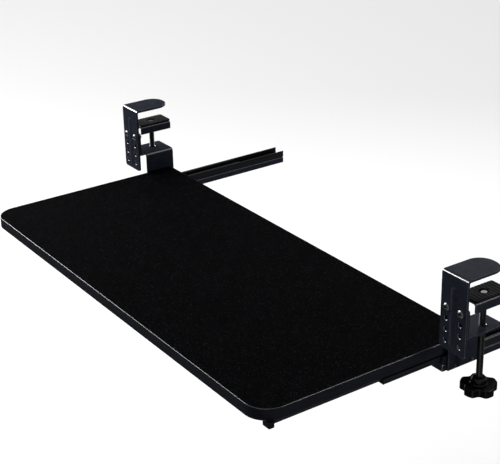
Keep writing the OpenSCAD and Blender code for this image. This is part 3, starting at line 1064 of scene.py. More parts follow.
@dataclass
class TrayBoard:
    """Laminated board with a band round its edge."""

    band: float = 1.0
    corner: float = 30.0
    corner_steps: int = 28
    arris: float = 0.8
    arris_steps: int = 4

    def build_band(self) -> Piece:
        """Models the edge band with softly rounded arrises.

        Returns:
            The band.
        """
        low, high = box_mm("tray_edge_band")
        piece = add_sheet("tray_edge_band_look", (low.x, low.y, high.z), (high.x, high.y, high.z))
        with editing(piece):
            round_off(piece, Pick.VERT, self.corner, self.corner_steps, lambda p, n: near(p.y, low.y))
        finish_with(piece, "SOLIDIFY", thickness=high.z - low.z, offset=-1)
        with editing(piece):
            round_off(piece, Pick.EDGE, self.arris, self.arris_steps, lies_level)
            for level in (low.z, high.z):
                pick(piece, Pick.FACE, lambda p, n: near(p.z, level) and abs(n.z) > FACES_AXIS)
                bpy.ops.mesh.inset(thickness=self.band - self.arris)
                bpy.ops.mesh.delete(type="FACE")
            bpy.ops.mesh.select_mode(type="EDGE")
            bpy.ops.mesh.select_all(action="DESELECT")
            bpy.ops.mesh.select_non_manifold()
            bpy.ops.mesh.bridge_edge_loops()
        return piece

    def build(self, wardrobe: Wardrobe) -> None:
        """Builds the band and dresses the board's sheets.

        Args:
            wardrobe: what dresses the pieces.
        """
        wardrobe.dress_piece(self.build_band(), Slot.BAND, TRAY_BODY, "tray_edge_band")
        wardrobe.dress_node("tray_core", Slot.CORE)
        wardrobe.dress_node("tray_top_laminate", Slot.LAMINATE)
        wardrobe.dress_node("tray_bottom_laminate", Slot.LAMINATE)


@dataclass
class ClampPlate:
    """Bent plate with a tongue, a pressed rib and rows of holes."""

    thickness: float = 3.0
    outer_bend: float = 4.0
    bend_steps: int = 8
    tongue_corner: float = 19.5
    tongue_steps: int = 18
    lower_corner: float = 4.0
    lower_steps: int = 6
    edge_round: float = 0.35
    rib_height: float = 1.5
    rib_half: float = 5.5
    rib_corners: int = 36
    rib_steps: int = 9
    rib_step: float = 0.55
    rib_root: float = 0.8
    rib_sink: float = 0.03
    rib_start: float = 11.0
    rib_margin: float = 5.0
    hole_radius: float = 2.75
    hole_flare: float = 0.3

    def build_plate(self) -> Piece:
        """Models the right-hand plate.

        Returns:
            The plate.
        """
        low, high = box_mm("clamp_plate_right")
        face = low.y + self.rib_height
        piece = add_sheet("clamp_plate", (low.x, face, low.z), (high.x, face, high.z))
        with editing(piece):
            pick(piece, Pick.EDGE, both_ends(lambda p: near(p.z, high.z)))
            extrude_by(0, high.y - face, 0)
            fold = both_ends(lambda p: near(p.z, high.z) and near(p.y, face))
            round_off(piece, Pick.EDGE, self.outer_bend, self.bend_steps, fold)
            round_off(piece, Pick.VERT, self.tongue_corner, self.tongue_steps, lambda p, n: near(p.y, high.y))
            round_off(piece, Pick.VERT, self.lower_corner, self.lower_steps, lambda p, n: near(p.z, low.z))
            merge_and_face_out()
        self.thicken(piece, face)
        soften(piece, self.edge_round)
        middle = (low.x + high.x) / 2
        combine(piece, self.rib_bar(middle, low.z, face), Merge.ADD)
        combine(piece, self.rib_bar(middle, low.z, face + self.thickness), Merge.CUT)
        combine(piece, self.hole_tools(middle, face), Merge.CUT)
        return piece

    def thicken(self, piece: Piece, face: float) -> None:
        """Gives the bent sheet its thickness, inwards from its outer face.

        Args:
            piece: the sheet.
            face: Y of the plate's front face.
        """
        with editing(piece):
            pick(piece, Pick.FACE, lambda p, n: near(p.y, face) and n.y > 0)
            mesh = bmesh.from_edit_mesh(piece.data)
            inward = any(f.select for f in mesh.faces)
            if inward:
                select_everything()
                bpy.ops.mesh.flip_normals()
        finish_with(piece, "SOLIDIFY", thickness=self.thickness, offset=-1, use_even_offset=True)

    def rib_bar(self, middle: float, bottom: float, face: float) -> Piece:
        """Models the rounded bar that is pressed out of the plate.

        Args:
            middle: X of the bar.
            bottom: Z of the plate's lower edge.
            face: Y of the surface that it stands on.

        Returns:
            The bar, closed.
        """
        low_end = bottom + self.rib_margin + self.rib_half
        high_end = -self.rib_start - self.rib_half
        clear_selection()
        bpy.ops.mesh.primitive_circle_add(
            vertices=self.rib_corners, radius=self.rib_half, fill_type="NGON",
            location=(middle, face + self.rib_root, low_end),
            rotation=(math.pi / 2, math.pi / self.rib_corners, 0),
        )
        bar = take("rib")
        with editing(bar):
            pick(bar, Pick.VERT, lambda p, n: p.z > low_end)
            bpy.ops.transform.translate(value=(0, 0, high_end - low_end))
            select_everything()
            extrude_by(0, self.rib_sink - self.rib_root, 0)
            merge_and_face_out()
            pick(bar, Pick.FACE, lambda p, n: n.y < -FACES_AXIS)
            heights = [-self.rib_sink, *(self.rib_rise(i + 1) for i in range(self.rib_steps))]
            for lower, upper in zip(heights, heights[1:]):
                bpy.ops.mesh.inset(thickness=self.rib_step, depth=upper - lower)
        return bar

    def rib_rise(self, step: int) -> float:
        """Height of the rib's round back after some steps inwards from its edge.

        Args:
            step: number of steps.

        Returns:
            The height above the plate's face.
        """
        radius = (self.rib_half ** 2 + self.rib_height ** 2) / (2 * self.rib_height)
        along = self.rib_half - step * self.rib_step
        return math.sqrt(radius ** 2 - along ** 2) - radius + self.rib_height

    def hole_tools(self, middle: float, face: float) -> Piece:
        """Makes one cutter for all the holes.

        Args:
            middle: X midway between the two columns.
            face: Y of the plate's front face.

        Returns:
            The joined cutters.
        """
        first = hole_cutter(self.hole_radius, self.thickness, self.hole_flare)
        places = [(middle + side.value * HOLE_SPAN / 2, face, z) for z in HOLE_ROWS for side in Side]
        return set_out(first, "holes", places, Facing.BACK)

    def build(self, wardrobe: Wardrobe) -> None:
        """Builds both plates."""
        wardrobe.dress_pair(self.build_plate(), Slot.POWDER, FRAME_BODY, "clamp_plate")


@dataclass
class DropBracket:
    """Bracket with a flange behind the plate, a shelf and a side plate."""

    thickness: float = 2.5
    bend: float = 2.0
    fold_steps: int = 6
    side_plate_front: float = 11.0
    flange_corner: float = 2.0
    flange_steps: int = 5
    shelf_corner: float = 3.0
    shelf_steps: int = 6
    shelf_top: float = -68.0
    edge_round: float = 0.25
    screw_hole: float = 4.5
    hole_flare: float = 0.4

    def build_bracket(self) -> Piece:
        """Models the right-hand bracket from its middle surface.

        Returns:
            The bracket.
        """
        low, high = box_mm("drop_bracket_right")
        half = self.thickness / 2
        corner = self.bend + self.thickness
        inner = low.x + corner
        shelf = self.shelf_top - half
        notch = self.shelf_top - self.thickness + corner
        behind = self.side_plate_front - CLOSE
        piece = add_sheet("drop_bracket", (inner, half, shelf), (high.x, high.y, shelf))
        with editing(piece):
            pick(piece, Pick.EDGE, both_ends(lambda p: near(p.y, half)))
            extrude_by(0, 0, high.z - shelf)
            for place, way in (((0, 0, notch), (0, 0, 1)), ((0, self.side_plate_front, 0), (0, 1, 0))):
                select_everything()
                bpy.ops.mesh.bisect(plane_co=place, plane_no=way)
            pick(piece, Pick.EDGE, both_ends(lambda p: near(p.x, inner) and p.z > notch - CLOSE))
            extrude_by(low.x - inner, 0, 0)
            shelf_side = both_ends(lambda p: near(p.x, inner) and near(p.z, shelf) and p.y > behind)
            pick(piece, Pick.EDGE, shelf_side)
            extrude_by(low.x + half - inner, 0, 0)
            extrude_by(0, 0, low.z - shelf)
            front_fold = both_ends(lambda p: near(p.z, shelf) and near(p.y, half))
            side_fold = both_ends(lambda p: near(p.z, shelf) and near(p.x, low.x + half))
            for fold in (front_fold, side_fold):
                round_off(piece, Pick.EDGE, self.bend + half, self.fold_steps, fold)
            round_off(
                piece, Pick.VERT, self.flange_corner, self.flange_steps,
                lambda p, n: near(p.z, high.z) and (near(p.x, low.x) or near(p.x, high.x)),
            )
            round_off(
                piece, Pick.VERT, self.shelf_corner, self.shelf_steps,
                lambda p, n: near(p.y, high.y) and near(p.x, high.x),
            )
            merge_and_face_out()
        finish_with(piece, "SOLIDIFY", thickness=self.thickness, offset=0, use_even_offset=True)
        soften(piece, self.edge_round)
        hole = hole_cutter(self.screw_hole, self.thickness, self.hole_flare)
        screw = middle_of("weld_nut_right")
        stand(hole, (screw.x, screw.y, self.shelf_top - self.thickness))
        combine(piece, hole, Merge.CUT)
        return piece

    def build(self, wardrobe: Wardrobe) -> None:
        """Builds both brackets."""
        wardrobe.dress_pair(self.build_bracket(), Slot.POWDER, FRAME_BODY, "drop_bracket")


@dataclass
class ClampScrew:
    """Threaded screw that swivels in the pressure plate."""

    major: float = 4.0
    minor: float = 3.3
    pitch: float = 1.25
    ridge_foot: float = 0.14
    ridge_top: float = 0.44
    thread_steps: int = 30
    spare_turns: int = 2
    neck: float = 2.5
    neck_length: float = 3.0
    thrust: float = 6.0
    thrust_height: float = 3.0
    thrust_round: float = 0.5
    thrust_steps: int = 3
    head: float = 4.0
    head_height: float = 1.2
    head_round: float = 0.6
    head_steps: int = 4
    stub_height: float = 2.7
    swivel_steps: int = 40

    def build_screw(self) -> Piece:
        """Models the right-hand screw.

        Returns:
            The screw.
        """
        low, high = box_mm("clamp_screw_right")
        middle = middle_of("clamp_screw_right")
        thread_top = high.z - self.head_height - self.stub_height - self.thrust_height - self.neck_length
        thread = self.build_thread(low.z, thread_top)
        base = thread_top - TOOL_OVERRUN
        collar = thread_top + self.neck_length
        thrust_top = collar + self.thrust_height
        head_low = high.z - self.head_height
        bend = self.thrust_round
        flat = self.thrust - bend
        crown = self.head_round
        points = [
            (0, base), (self.neck, base), (self.neck, collar), (flat, collar),
            *round_edge(bend, flat, collar + bend, -90, self.thrust_steps),
            *round_edge(bend, flat, thrust_top - bend, 0, self.thrust_steps),
            (self.neck, thrust_top), (self.neck, head_low), (self.head, head_low),
            *round_edge(crown, self.head - crown, high.z - crown, 0, self.head_steps), (0, high.z),
        ]
        combine(thread, lathe("swivel", points, self.swivel_steps), Merge.ADD)
        return stand(thread, (middle.x, middle.y, 0))

    def build_thread(self, bottom: float, top: float) -> Piece:
        """Models the thread on the Z axis.

        Args:
            bottom: height of its lower end.
            top: height of its upper end.

        Returns:
            The closed thread.
        """
        pitch = self.pitch
        start = bottom - pitch
        ridge = [
            (self.minor, 0), (self.minor, self.ridge_foot), (self.major, self.ridge_top),
            (self.major, 1 - self.ridge_top), (self.minor, 1 - self.ridge_foot), (self.minor, 1),
        ]
        piece = draw_profile("clamp_screw", [(x, z * pitch + start) for x, z in ridge])
        turns = math.ceil((top - bottom) / pitch) + self.spare_turns
        finish_with(
            piece, "SCREW", axis="Z", angle=math.tau, screw_offset=pitch, iterations=turns,
            steps=self.thread_steps, render_steps=self.thread_steps, use_merge_vertices=True,
            merge_threshold=CLOSE,
        )
        with editing(piece):
            merge_and_face_out()
            for level, keep_up in ((bottom, True), (top, False)):
                select_everything()
                bpy.ops.mesh.bisect(
                    plane_co=(0, 0, level), plane_no=(0, 0, 1), use_fill=True,
                    clear_inner=keep_up, clear_outer=not keep_up,
                )
            merge_and_face_out()
        return piece

    def build(self, wardrobe: Wardrobe) -> None:
        """Builds both screws."""
        wardrobe.dress_pair(self.build_screw(), Slot.BLACK, SCREW_BODIES, "clamp_screw")


@dataclass
class StarKnob:
    """Moulded star knob with a round collar."""

    radius: float = 21.7
    lobes: int = 5
    lobe_steps: int = 24
    valley_turn: float = -41.0
    valley_depth: float = 4.4
    valley_reach: float = 9.0
    rim: float = 1.3
    rim_steps: int = 4
    star_height: float = 10.5
    collar_radius: float = 9.7
    collar_dome: float = 6.0
    dome_steps: int = 8
    collar_foot: float = 0.8
    collar_steps: int = 56
    bore: float = 4.05
    bore_flare: float = 0.5
    recess: float = 11.0
    recess_depth: float = 1.5

    def build_star(self, bottom: float) -> Piece:
        """Models the star on the Z axis.

        Args:
            bottom: height of its lower face.

        Returns:
            The star.
        """
        clear_selection()
        bpy.ops.mesh.primitive_circle_add(
            vertices=self.lobes * self.lobe_steps, radius=self.radius, fill_type="NGON",
            location=(0, 0, bottom), rotation=(0, 0, math.radians(self.valley_turn - 90)),
        )
        piece = take("clamp_knob")
        reach = self.radius / self.lobe_steps
        with editing(piece):
            for i in range(self.lobes):
                angle = math.radians(self.valley_turn + 360 * i / self.lobes)
                way = Vector((math.cos(angle), math.sin(angle), 0))
                nearest = way * self.radius + Vector((0, 0, bottom))
                pick(piece, Pick.VERT, lambda p, n: (p - nearest).length < reach)
                bpy.ops.transform.translate(
                    value=-way * self.valley_depth, use_proportional_edit=True,
                    proportional_edit_falloff="SMOOTH", proportional_size=self.valley_reach,
                )
            select_everything()
            extrude_by(0, 0, self.star_height)
            merge_and_face_out()
            round_off(piece, Pick.EDGE, self.rim, self.rim_steps, lies_level)
        return piece

    def build_knob(self) -> Piece:
        """Models the right-hand knob.

        Returns:
            The knob.
        """
        low, high = box_mm("clamp_knob_right")
        axis = middle_of("clamp_screw_right")
        piece = self.build_star(low.z)
        star_top = low.z + self.star_height
        root = star_top - self.star_height / 2
        foot = self.collar_radius + self.collar_foot
        dome = self.collar_dome
        points = [
            (0, root), (foot, root), (foot, star_top), (self.collar_radius, star_top + self.collar_foot),
            *round_edge(dome, self.collar_radius - dome, high.z - dome, 0, self.dome_steps), (0, high.z),
        ]
        combine(piece, lathe("collar", points, self.collar_steps), Merge.ADD)
        dish = self.recess + self.recess_depth
        below = low.z - TOOL_OVERRUN
        ceiling = low.z + self.recess_depth
        points = [(0, below), (dish, below), (dish, low.z), (self.recess, ceiling), (0, ceiling)]
        combine(piece, lathe("recess", points, self.collar_steps), Merge.CUT)
        bore = hole_cutter(self.bore, high.z - root, self.bore_flare)
        combine(piece, stand(bore, (0, 0, root)), Merge.CUT)
        return stand(piece, (axis.x, axis.y, 0))

    def build(self, wardrobe: Wardrobe) -> None:
        """Builds both knobs."""
        wardrobe.dress_pair(self.build_knob(), Slot.KNOB, SCREW_BODIES, "clamp_knob")


@dataclass
class ClampJaw:
    """Pressure plate with its rubber pad, and the pad under the tongue."""

    thickness: float = 2.5
    bend: float = 2.0
    bend_steps: int = 6
    edge_round: float = 0.4
    swivel_hole: float = 2.55
    swivel_flare: float = 0.25
    pad_hole: float = 6.0
    pad_flare: float = 0.4
    pad_corner: float = 3.0
    pad_steps: int = 6
    pad_round: float = 0.5
    groove_pitch: float = 5.0
    groove_depth: float = 0.8
    groove_width: float = 1.4
    tongue_corner: float = 18.0
    tongue_steps: int = 16
    tongue_pad_round: float = 0.3
    round_steps: int = 2

    def build_plate(self) -> Piece:
        """Models the right-hand pressure plate.

        Returns:
            The plate.
        """
        low, high = box_mm("pressure_plate_right")
        middle = middle_of("pressure_plate_right")
        piece = fold_channel("pressure_plate", low, high, self.thickness, self.bend, self.bend_steps)
        soften(piece, self.edge_round)
        hole = hole_cutter(self.swivel_hole, self.thickness, self.swivel_flare)
        combine(piece, stand(hole, (middle.x, middle.y, high.z - self.thickness)), Merge.CUT)
        return piece

    def build_pad(self) -> Piece:
        """Models the right-hand rubber pad with its grooves.

        Returns:
            The pad.
        """
        low, high = box_mm("pressure_pad_right")
        middle = middle_of("pressure_pad_right")
        piece = add_box("pressure_pad", low, high)
        with editing(piece):
            round_off(piece, Pick.EDGE, self.pad_corner, self.pad_steps, stands_upright)
        soften(piece, self.pad_round)
        hole = hole_cutter(self.pad_hole, high.z - low.z, self.pad_flare)
        combine(piece, stand(hole, (middle.x, middle.y, low.z)), Merge.CUT)
        count = int((high.y - low.y) / self.groove_pitch)
        half = self.groove_width / 2
        floor = high.z - self.groove_depth
        sides = (low.x - TOOL_OVERRUN, high.x + TOOL_OVERRUN)
        tools = []
        for i in range(count):
            y = middle.y + (i - (count - 1) / 2) * self.groove_pitch
            corners = ((sides[0], y - half, floor), (sides[1], y + half, high.z + TOOL_OVERRUN))
            tools.append(add_box("groove", *corners))
        combine(piece, join(tools, "grooves"), Merge.CUT)
        return piece

    def build_tongue_pad(self) -> Piece:
        """Models the right-hand pad under the tongue.

        Returns:
            The pad.
        """
        low, high = box_mm("tongue_pad_right")
        piece = add_box("tongue_pad", low, high)
        with editing(piece):
            round_off(
                piece, Pick.EDGE, self.tongue_corner, self.tongue_steps,
                lambda a, b: stands_upright(a, b) and near(a.y, high.y),
            )
        soften(piece, self.tongue_pad_round, self.round_steps)
        return piece

    def build(self, wardrobe: Wardrobe) -> None:
        """Builds the jaws of both clamps.

        Args:
            wardrobe: what dresses the pieces.
        """
        wardrobe.dress_pair(self.build_plate(), Slot.POWDER, JAW_BODIES, "pressure_plate")
        wardrobe.dress_pair(self.build_pad(), Slot.RUBBER, JAW_BODIES, "pressure_pad")
        wardrobe.dress_pair(self.build_tongue_pad(), Slot.RUBBER, FRAME_BODY, "tongue_pad")


@dataclass
class Fasteners:
    """Bolts, nuts, screws and rivets."""

    bolt_head: float = 4.75
    bolt_head_height: float = 2.75
    bolt_lip: float = 0.45
    bolt_arc_steps: int = 6
    bolt_shank: float = 2.5
    bolt_tip: float = 0.6
    bolt_steps: int = 48
    head_edge: float = 0.2
    socket_flats: float = 3.0
    socket_depth: float = 1.6
    socket_rim_depth: float = 0.5
    socket_rim_rise: float = 0.4
    socket_steps: int = 40
    plate_face: float = -3.0
    nut_corner_cut: float = 0.6
    nut_flat_share: float = 0.97
    nut_overrun: float = 0.3
    nut_flare: float = 0.4
    nut_steps: int = 60
    thread_gap: float = 0.08
    clamp_thread: float = 4.0
    wood_head: float = 2.8
    wood_head_height: float = 1.8
    wood_head_edge: float = 0.25
    wood_round: float = 1.1
    wood_round_steps: int = 5
    wood_shank: float = 1.6
    wood_tip: float = 0.3
    wood_taper: float = 3.0
    wood_steps: int = 40
    cross_arm: float = 1.5
    cross_half: float = 0.36
    cross_depth: float = 1.0
    middle_shift: float = -20.0

    def build_bolt(self, length: float) -> Piece:
        """Models a button-head bolt that stands on z = 0.

        Args:
            length: length of the shank below the head.

        Returns:
            The bolt.
        """
        head, height, shank = self.bolt_head, self.bolt_head_height, self.bolt_shank
        sphere = (head ** 2 + height ** 2) / (2 * height)
        arc = []
        for i in range(self.bolt_arc_steps + 1):
            x = head * (1 - i / self.bolt_arc_steps)
            arc.append((x, max(self.bolt_lip, height - sphere + math.sqrt(sphere ** 2 - x ** 2))))
        points = [
            (0, -length), (shank - self.bolt_tip, -length), (shank, self.bolt_tip - length),
            (shank, 0), (head - self.head_edge, 0), (head, self.head_edge), *arc,
        ]
        piece = lathe("bracket_bolt", points, self.bolt_steps)
        socket = hex_bar(self.socket_flats, height - self.socket_depth, height + TOOL_OVERRUN)
        combine(piece, socket, Merge.CUT)
        inner = self.socket_flats / 2
        outer = inner + self.socket_rim_depth + self.socket_rim_rise
        lower, upper = height - self.socket_rim_depth, height + self.socket_rim_rise
        rim = [(0, lower), (inner, lower), (outer, upper), (0, upper)]
        combine(piece, lathe("socket_rim", rim, self.socket_steps), Merge.CUT)
        return piece

    def build_nut(self, flats: float, height: float, bore: float) -> Piece:
        """Models a hexagon nut with chamfered corners that stands on z = 0.

        Args:
            flats: distance across its flats.
            height: its height.
            bore: radius of its hole.

        Returns:
            The nut.
        """
        piece = hex_bar(flats, 0, height)
        corner = hex_corner(flats)
        drop = (corner - flats / 2) * self.nut_corner_cut
        flat = flats / 2 * self.nut_flat_share
        spare = self.nut_overrun
        widening = spare * (corner - flat) / drop
        points = [
            (0, -spare), (flat - widening, -spare), (corner + widening, drop + spare),
            (corner + widening, height - drop - spare), (flat - widening, height + spare),
            (0, height + spare),
        ]
        combine(piece, lathe("chamfer", points, self.nut_steps), Merge.TRIM)
        combine(piece, hole_cutter(bore, height, self.nut_flare), Merge.CUT)
        return piece

    def build_wood_screw(self, length: float) -> Piece:
        """Models a pan-head screw whose head stands on z = 0.

        Args:
            length: length of the shank below the head.

        Returns:
            The screw.
        """
        head, height, bend = self.wood_head, self.wood_head_height, self.wood_round
        points = [
            (0, -length), (self.wood_tip, -length), (self.wood_shank, self.wood_taper - length),
            (self.wood_shank, 0), (head - self.head_edge, 0), (head, self.wood_head_edge),
            *round_edge(bend, head - bend, height - bend, 0, self.wood_round_steps), (0, height),
        ]
        piece = lathe("wood_screw", points, self.wood_steps)
        arm, half = self.cross_arm, self.cross_half
        for x, y in ((arm, half), (half, arm)):
            tool = add_box("cross", (-x, -y, height - self.cross_depth), (x, y, height + TOOL_OVERRUN))
            combine(piece, tool, Merge.CUT)
        return piece

    def bolt_places(self, y: float) -> list[tuple[float, float, float]]:
        """Places of the two bolts of the right-hand bracket at a depth."""
        middle = middle_of("clamp_plate_right").x
        return [(middle + s * HOLE_SPAN / 2, y, HOLE_ROWS[0]) for s in (-1, 1)]

    def build(self, wardrobe: Wardrobe) -> None:
        """Builds the fasteners of both sides.

        Args:
            wardrobe: what dresses the pieces.
        """
        low, high = box_mm("bracket_bolts_right")
        bolt = self.build_bolt(high.y - self.plate_face)
        bolts = set_out(bolt, "bracket_bolts", self.bolt_places(self.plate_face), Facing.FRONT)
        wardrobe.dress_pair(bolts, Slot.BLACK, FRAME_BODY, "bracket_bolts")
        low, high = box_mm("bracket_nuts_right")
        nut = self.build_nut(high.z - low.z, high.y - low.y, self.bolt_shank + self.thread_gap)
        nuts = set_out(nut, "bracket_nuts", self.bolt_places(low.y), Facing.BACK)
        wardrobe.dress_pair(nuts, Slot.BLACK, FRAME_BODY, "bracket_nuts")
        low, high = box_mm("weld_nut_right")
        nut = self.build_nut(high.y - low.y, high.z - low.z, self.clamp_thread + self.thread_gap)
        middle = middle_of("weld_nut_right")
        wardrobe.dress_pair(stand(nut, (middle.x, middle.y, low.z)), Slot.BLACK, FRAME_BODY, "weld_nut")
        self.build_wood_screws(wardrobe)
        for side in Side:
            wardrobe.dress_node(side.node("side_rivets"), Slot.BLACK)
            wardrobe.dress_node(side.node("slide_rivets"), Slot.ZINC)

    def build_wood_screws(self, wardrobe: Wardrobe) -> None:
        """Builds the screws under the tray and in the bumpers.

        Args:
            wardrobe: what dresses the pieces.
        """
        low, high = box_mm("tray_screws_right")
        x = middle_of("tray_screws_right").x
        seat = low.z + self.wood_head_height
        front, back = low.y + self.wood_head, high.y - self.wood_head
        rows = (front, (front + back) / 2 + self.middle_shift, back)
        screw = self.build_wood_screw(high.z - seat)
        screws = set_out(screw, "tray_screws", [(x, y, seat) for y in rows], Facing.DOWN)
        wardrobe.dress_pair(screws, Slot.ZINC, TRAY_BODY, "tray_screws")
        low, high = box_mm("bumper_screw_right")
        middle = middle_of("bumper_screw_right")
        seat = low.z + self.wood_head_height
        screw = stand(self.build_wood_screw(high.z - seat), (middle.x, middle.y, seat), Facing.DOWN)
        wardrobe.dress_pair(screw, Slot.ZINC, TRAY_BODY, "bumper_screw")


@dataclass
class SlideSet:
    """Ball-bearing slides, their supports and the front bumpers."""

    support_thickness: float = 1.5
    support_bend: float = 0.8
    bend_steps: int = 5
    support_round: float = 0.25
    support_steps: int = 2
    end_round: float = 0.7
    end_steps: int = 4
    bumper_corner: float = 2.0
    corner_steps: int = 5
    bumper_round: float = 0.8
    round_steps: int = 3
    screw_head_height: float = 1.8
    screw_head_room: float = 2.95
    screw_shank_room: float = 1.65
    recess_overlap: float = 0.5
    recess_flare: float = 0.01

    def build_support(self) -> Piece:
        """Models the right-hand support channel.

        Returns:
            The channel.
        """
        low, high = box_mm("rail_support_right")
        thickness = self.support_thickness
        start = (low.x, low.y + thickness, low.z)
        piece = fold_channel("rail_support", start, high, thickness, self.support_bend, self.bend_steps)
        soften(piece, self.support_round, self.support_steps)
        wall = add_box("support_end", low, (high.x, low.y + 2 * thickness, high.z))
        soften(wall, self.end_round, self.end_steps)
        combine(piece, wall, Merge.ADD)
        return piece

    def build_bumper(self) -> Piece:
        """Models the right-hand bumper.

        Returns:
            The bumper.
        """
        low, high = box_mm("front_bumper_right")
        piece = add_box("front_bumper", low, high)
        with editing(piece):
            round_off(piece, Pick.EDGE, self.bumper_corner, self.corner_steps, stands_upright)
            underside = both_ends(lambda p: near(p.z, low.z))
            round_off(piece, Pick.EDGE, self.bumper_round, self.round_steps, underside)
        seat = box_mm("bumper_screw_right")[0].z + self.screw_head_height
        middle = middle_of("bumper_screw_right")
        recesses = (
            (self.screw_head_room, low.z, seat),
            (self.screw_shank_room, seat - self.recess_overlap, high.z),
        )
        for radius, bottom, top in recesses:
            tool = hole_cutter(radius, top - bottom, self.recess_flare)
            combine(piece, stand(tool, (middle.x, middle.y, bottom)), Merge.CUT)
        return piece

    def build(self, wardrobe: Wardrobe) -> None:
        """Builds supports and bumpers and dresses the slide members.

        Args:
            wardrobe: what dresses the pieces.
        """
        wardrobe.dress_pair(self.build_support(), Slot.POWDER, FRAME_BODY, "rail_support")
        wardrobe.dress_pair(self.build_bumper(), Slot.RUBBER, TRAY_BODY, "front_bumper")
        dress = {
            Slot.SLIDE: ("slide_outer", "slide_middle", "slide_inner"),
            Slot.CAGE: ("outer_cage", "inner_cage"),
            Slot.BALL: ("outer_balls", "inner_balls"),
        }
        for side in Side:
            for slot, bases in dress.items():
                for base in bases:
                    wardrobe.dress_node(side.node(base), slot)


# Studio: floor, sky, lamps and camera


def hang_light(name: str, kind: str, way: Vector, **settings: object) -> Piece:
    """Adds a light that shines one way.

    Args:
        name: name of the light.
        kind: Blender's name of the kind of light.
        way: direction that it shines in.
        **settings: values of the light.

    Returns:
        The lamp, at the origin.
    """
    light = bpy.data.lights.new(name, kind)
    for key, value in settings.items():
        setattr(light, key, value)
    lamp = bpy.data.objects.new(name, light)
    bpy.context.scene.collection.objects.link(lamp)
    lamp.rotation_mode = "QUATERNION"
    lamp.rotation_quaternion = way.to_track_quat("-Z", "Y")
    return lamp


@dataclass(frozen=True)
class Lamp:
    """One soft rectangular lamp that faces its aim.

    Its width runs level and its height stands at right angles to that.
    """

    name: str
    place: tuple[float, float, float]
    aim: tuple[float, float, float]
    width: float
    height: float
    power: float

    def hang(self) -> None:
        """Adds the lamp to the scene."""
        lamp = hang_light(
            self.name, "AREA", Vector(self.aim) - Vector(self.place), shape="RECTANGLE",
            size=self.width, size_y=self.height, energy=self.power,
        )
        lamp.location = self.place


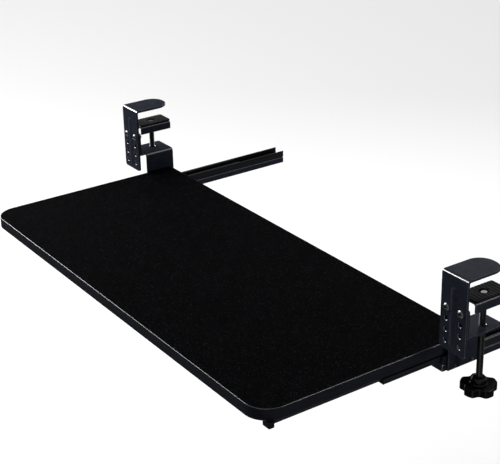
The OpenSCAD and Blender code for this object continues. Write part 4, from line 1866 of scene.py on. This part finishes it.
@dataclass
class Studio:
    """Pale floor and sky, soft lamps and the camera."""

    floor_drop: float = 0.62
    floor_radius: float = 60.0
    floor_corners: int = 64
    floor_roughness: float = 0.9
    floor_pale: float = 0.82
    floor_shown: float = 0.28
    floor_glow: float = 0.5
    world_level: float = 0.12
    world_shown: float = 0.9
    side_level: float = 6.2
    side_spread: float = 45.0
    side_from: tuple[float, float, float] = (-0.96, -0.06, 0.27)
    eye: tuple[float, float, float] = (1.2757, -0.8936, 0.6285)
    azimuth: float = 55.90
    elevation: float = 24.272
    roll: float = -1.318
    sensor: float = 36.0
    lens: float = 92.06
    sight: float = 100.0
    lamps: tuple[Lamp, ...] = (
        Lamp("key", (-1.65, -1.0, 0.9), (-1.65, 0.0, -0.1), 1.9, 0.5, 60.0),
        Lamp("kicker", (2.3, 1.15, 0.35), (0.3, 0.0, -0.1), 0.8, 0.8, 26.0),
        Lamp("rim", (-0.92, 1.28, 0.88), (0.36, 0.03, 0.0), 0.9, 0.9, 22.0),
    )

    def add_backdrop_value(self, graph: Graph, bounced: float, shown: float) -> Socket:
        """Adds a value that differs between bounced light and what shows as backdrop.

        Args:
            graph: node tree of the floor or the world.
            bounced: value for light that bounces on to the part.
            shown: value for the picture, reflections and clear pieces.

        Returns:
            The socket of the value.
        """
        path = graph.add("ShaderNodeLightPath").outputs
        mask = path["Is Camera Ray"]
        for ray in ("Is Glossy Ray", "Is Transmission Ray"):
            mask = graph.reckon("MAXIMUM", mask, path[ray])
        return graph.remap(mask, To_Min=bounced, To_Max=shown)

    def build_floor(self) -> None:
        """Adds the floor, even and pale in the picture and in reflections, with the shadow kept."""
        clear_selection()
        bpy.ops.mesh.primitive_circle_add(
            vertices=self.floor_corners, radius=self.floor_radius, fill_type="NGON",
            location=(0, 0, -self.floor_drop),
        )
        floor = take("studio_floor")
        material = bpy.data.materials.new("studio_floor")
        material.use_nodes = True
        graph = Graph(material.node_tree)
        shader = material.node_tree.nodes["Principled BSDF"].inputs
        shader["Roughness"].default_value = self.floor_roughness
        shader["Emission Color"].default_value = WHITE
        graph.feed(shader["Base Color"], self.add_backdrop_value(graph, self.floor_pale, self.floor_shown))
        graph.feed(shader["Emission Strength"], self.add_backdrop_value(graph, 0.0, self.floor_glow))
        floor.data.materials.append(material)

    def build_side_lamp(self) -> None:
        """Hangs a wide even lamp far off at the left, whose light rakes across the front faces."""
        spread = math.radians(self.side_spread)
        hang_light("side", "SUN", -Vector(self.side_from), energy=self.side_level, angle=spread)

    def build_world(self) -> None:
        """Sets an even pale sky."""
        world = bpy.data.worlds.new("studio")
        world.use_nodes = True
        sky = world.node_tree.nodes["Background"].inputs
        sky["Color"].default_value = WHITE
        graph = Graph(world.node_tree)
        graph.feed(sky["Strength"], self.add_backdrop_value(graph, self.world_level, self.world_shown))
        bpy.context.scene.world = world

    def build_camera(self) -> None:
        """Sets the camera at the photograph's place and angle."""
        turn, tilt, roll = (math.radians(a) for a in (self.azimuth, self.elevation, self.roll))
        ahead = Vector((
            -math.sin(turn) * math.cos(tilt), math.cos(turn) * math.cos(tilt), -math.sin(tilt),
        ))
        level = ahead.cross(Vector((0, 0, 1))).normalized()
        up = level.cross(ahead)
        right = level * math.cos(roll) + up * math.sin(roll)
        above = up * math.cos(roll) - level * math.sin(roll)
        matrix = Matrix((right, above, -ahead)).transposed().to_4x4()
        matrix.translation = Vector(self.eye)
        lens = bpy.data.cameras.new("camera")
        lens.sensor_width = self.sensor
        lens.lens = self.lens
        lens.clip_end = self.sight
        camera = bpy.data.objects.new("camera", lens)
        bpy.context.scene.collection.objects.link(camera)
        camera.matrix_world = matrix
        bpy.context.scene.camera = camera

    def build(self) -> None:
        """Builds the studio."""
        bpy.context.scene.view_settings.view_transform = "Standard"
        self.build_camera()
        self.build_world()
        self.build_floor()
        self.build_side_lamp()
        for lamp in self.lamps:
            lamp.hang()


def main() -> None:
    """Builds the studio and every sub-assembly in order."""
    logging.basicConfig(level=logging.INFO, format="%(name)s: %(message)s")
    Studio().build()
    wardrobe = Wardrobe()
    for part in (
        TrayBoard(), ClampPlate(), DropBracket(), ClampScrew(),
        StarKnob(), ClampJaw(), Fasteners(), SlideSet(),
    ):
        part.build(wardrobe)


if __name__ == "__main__":
    main()
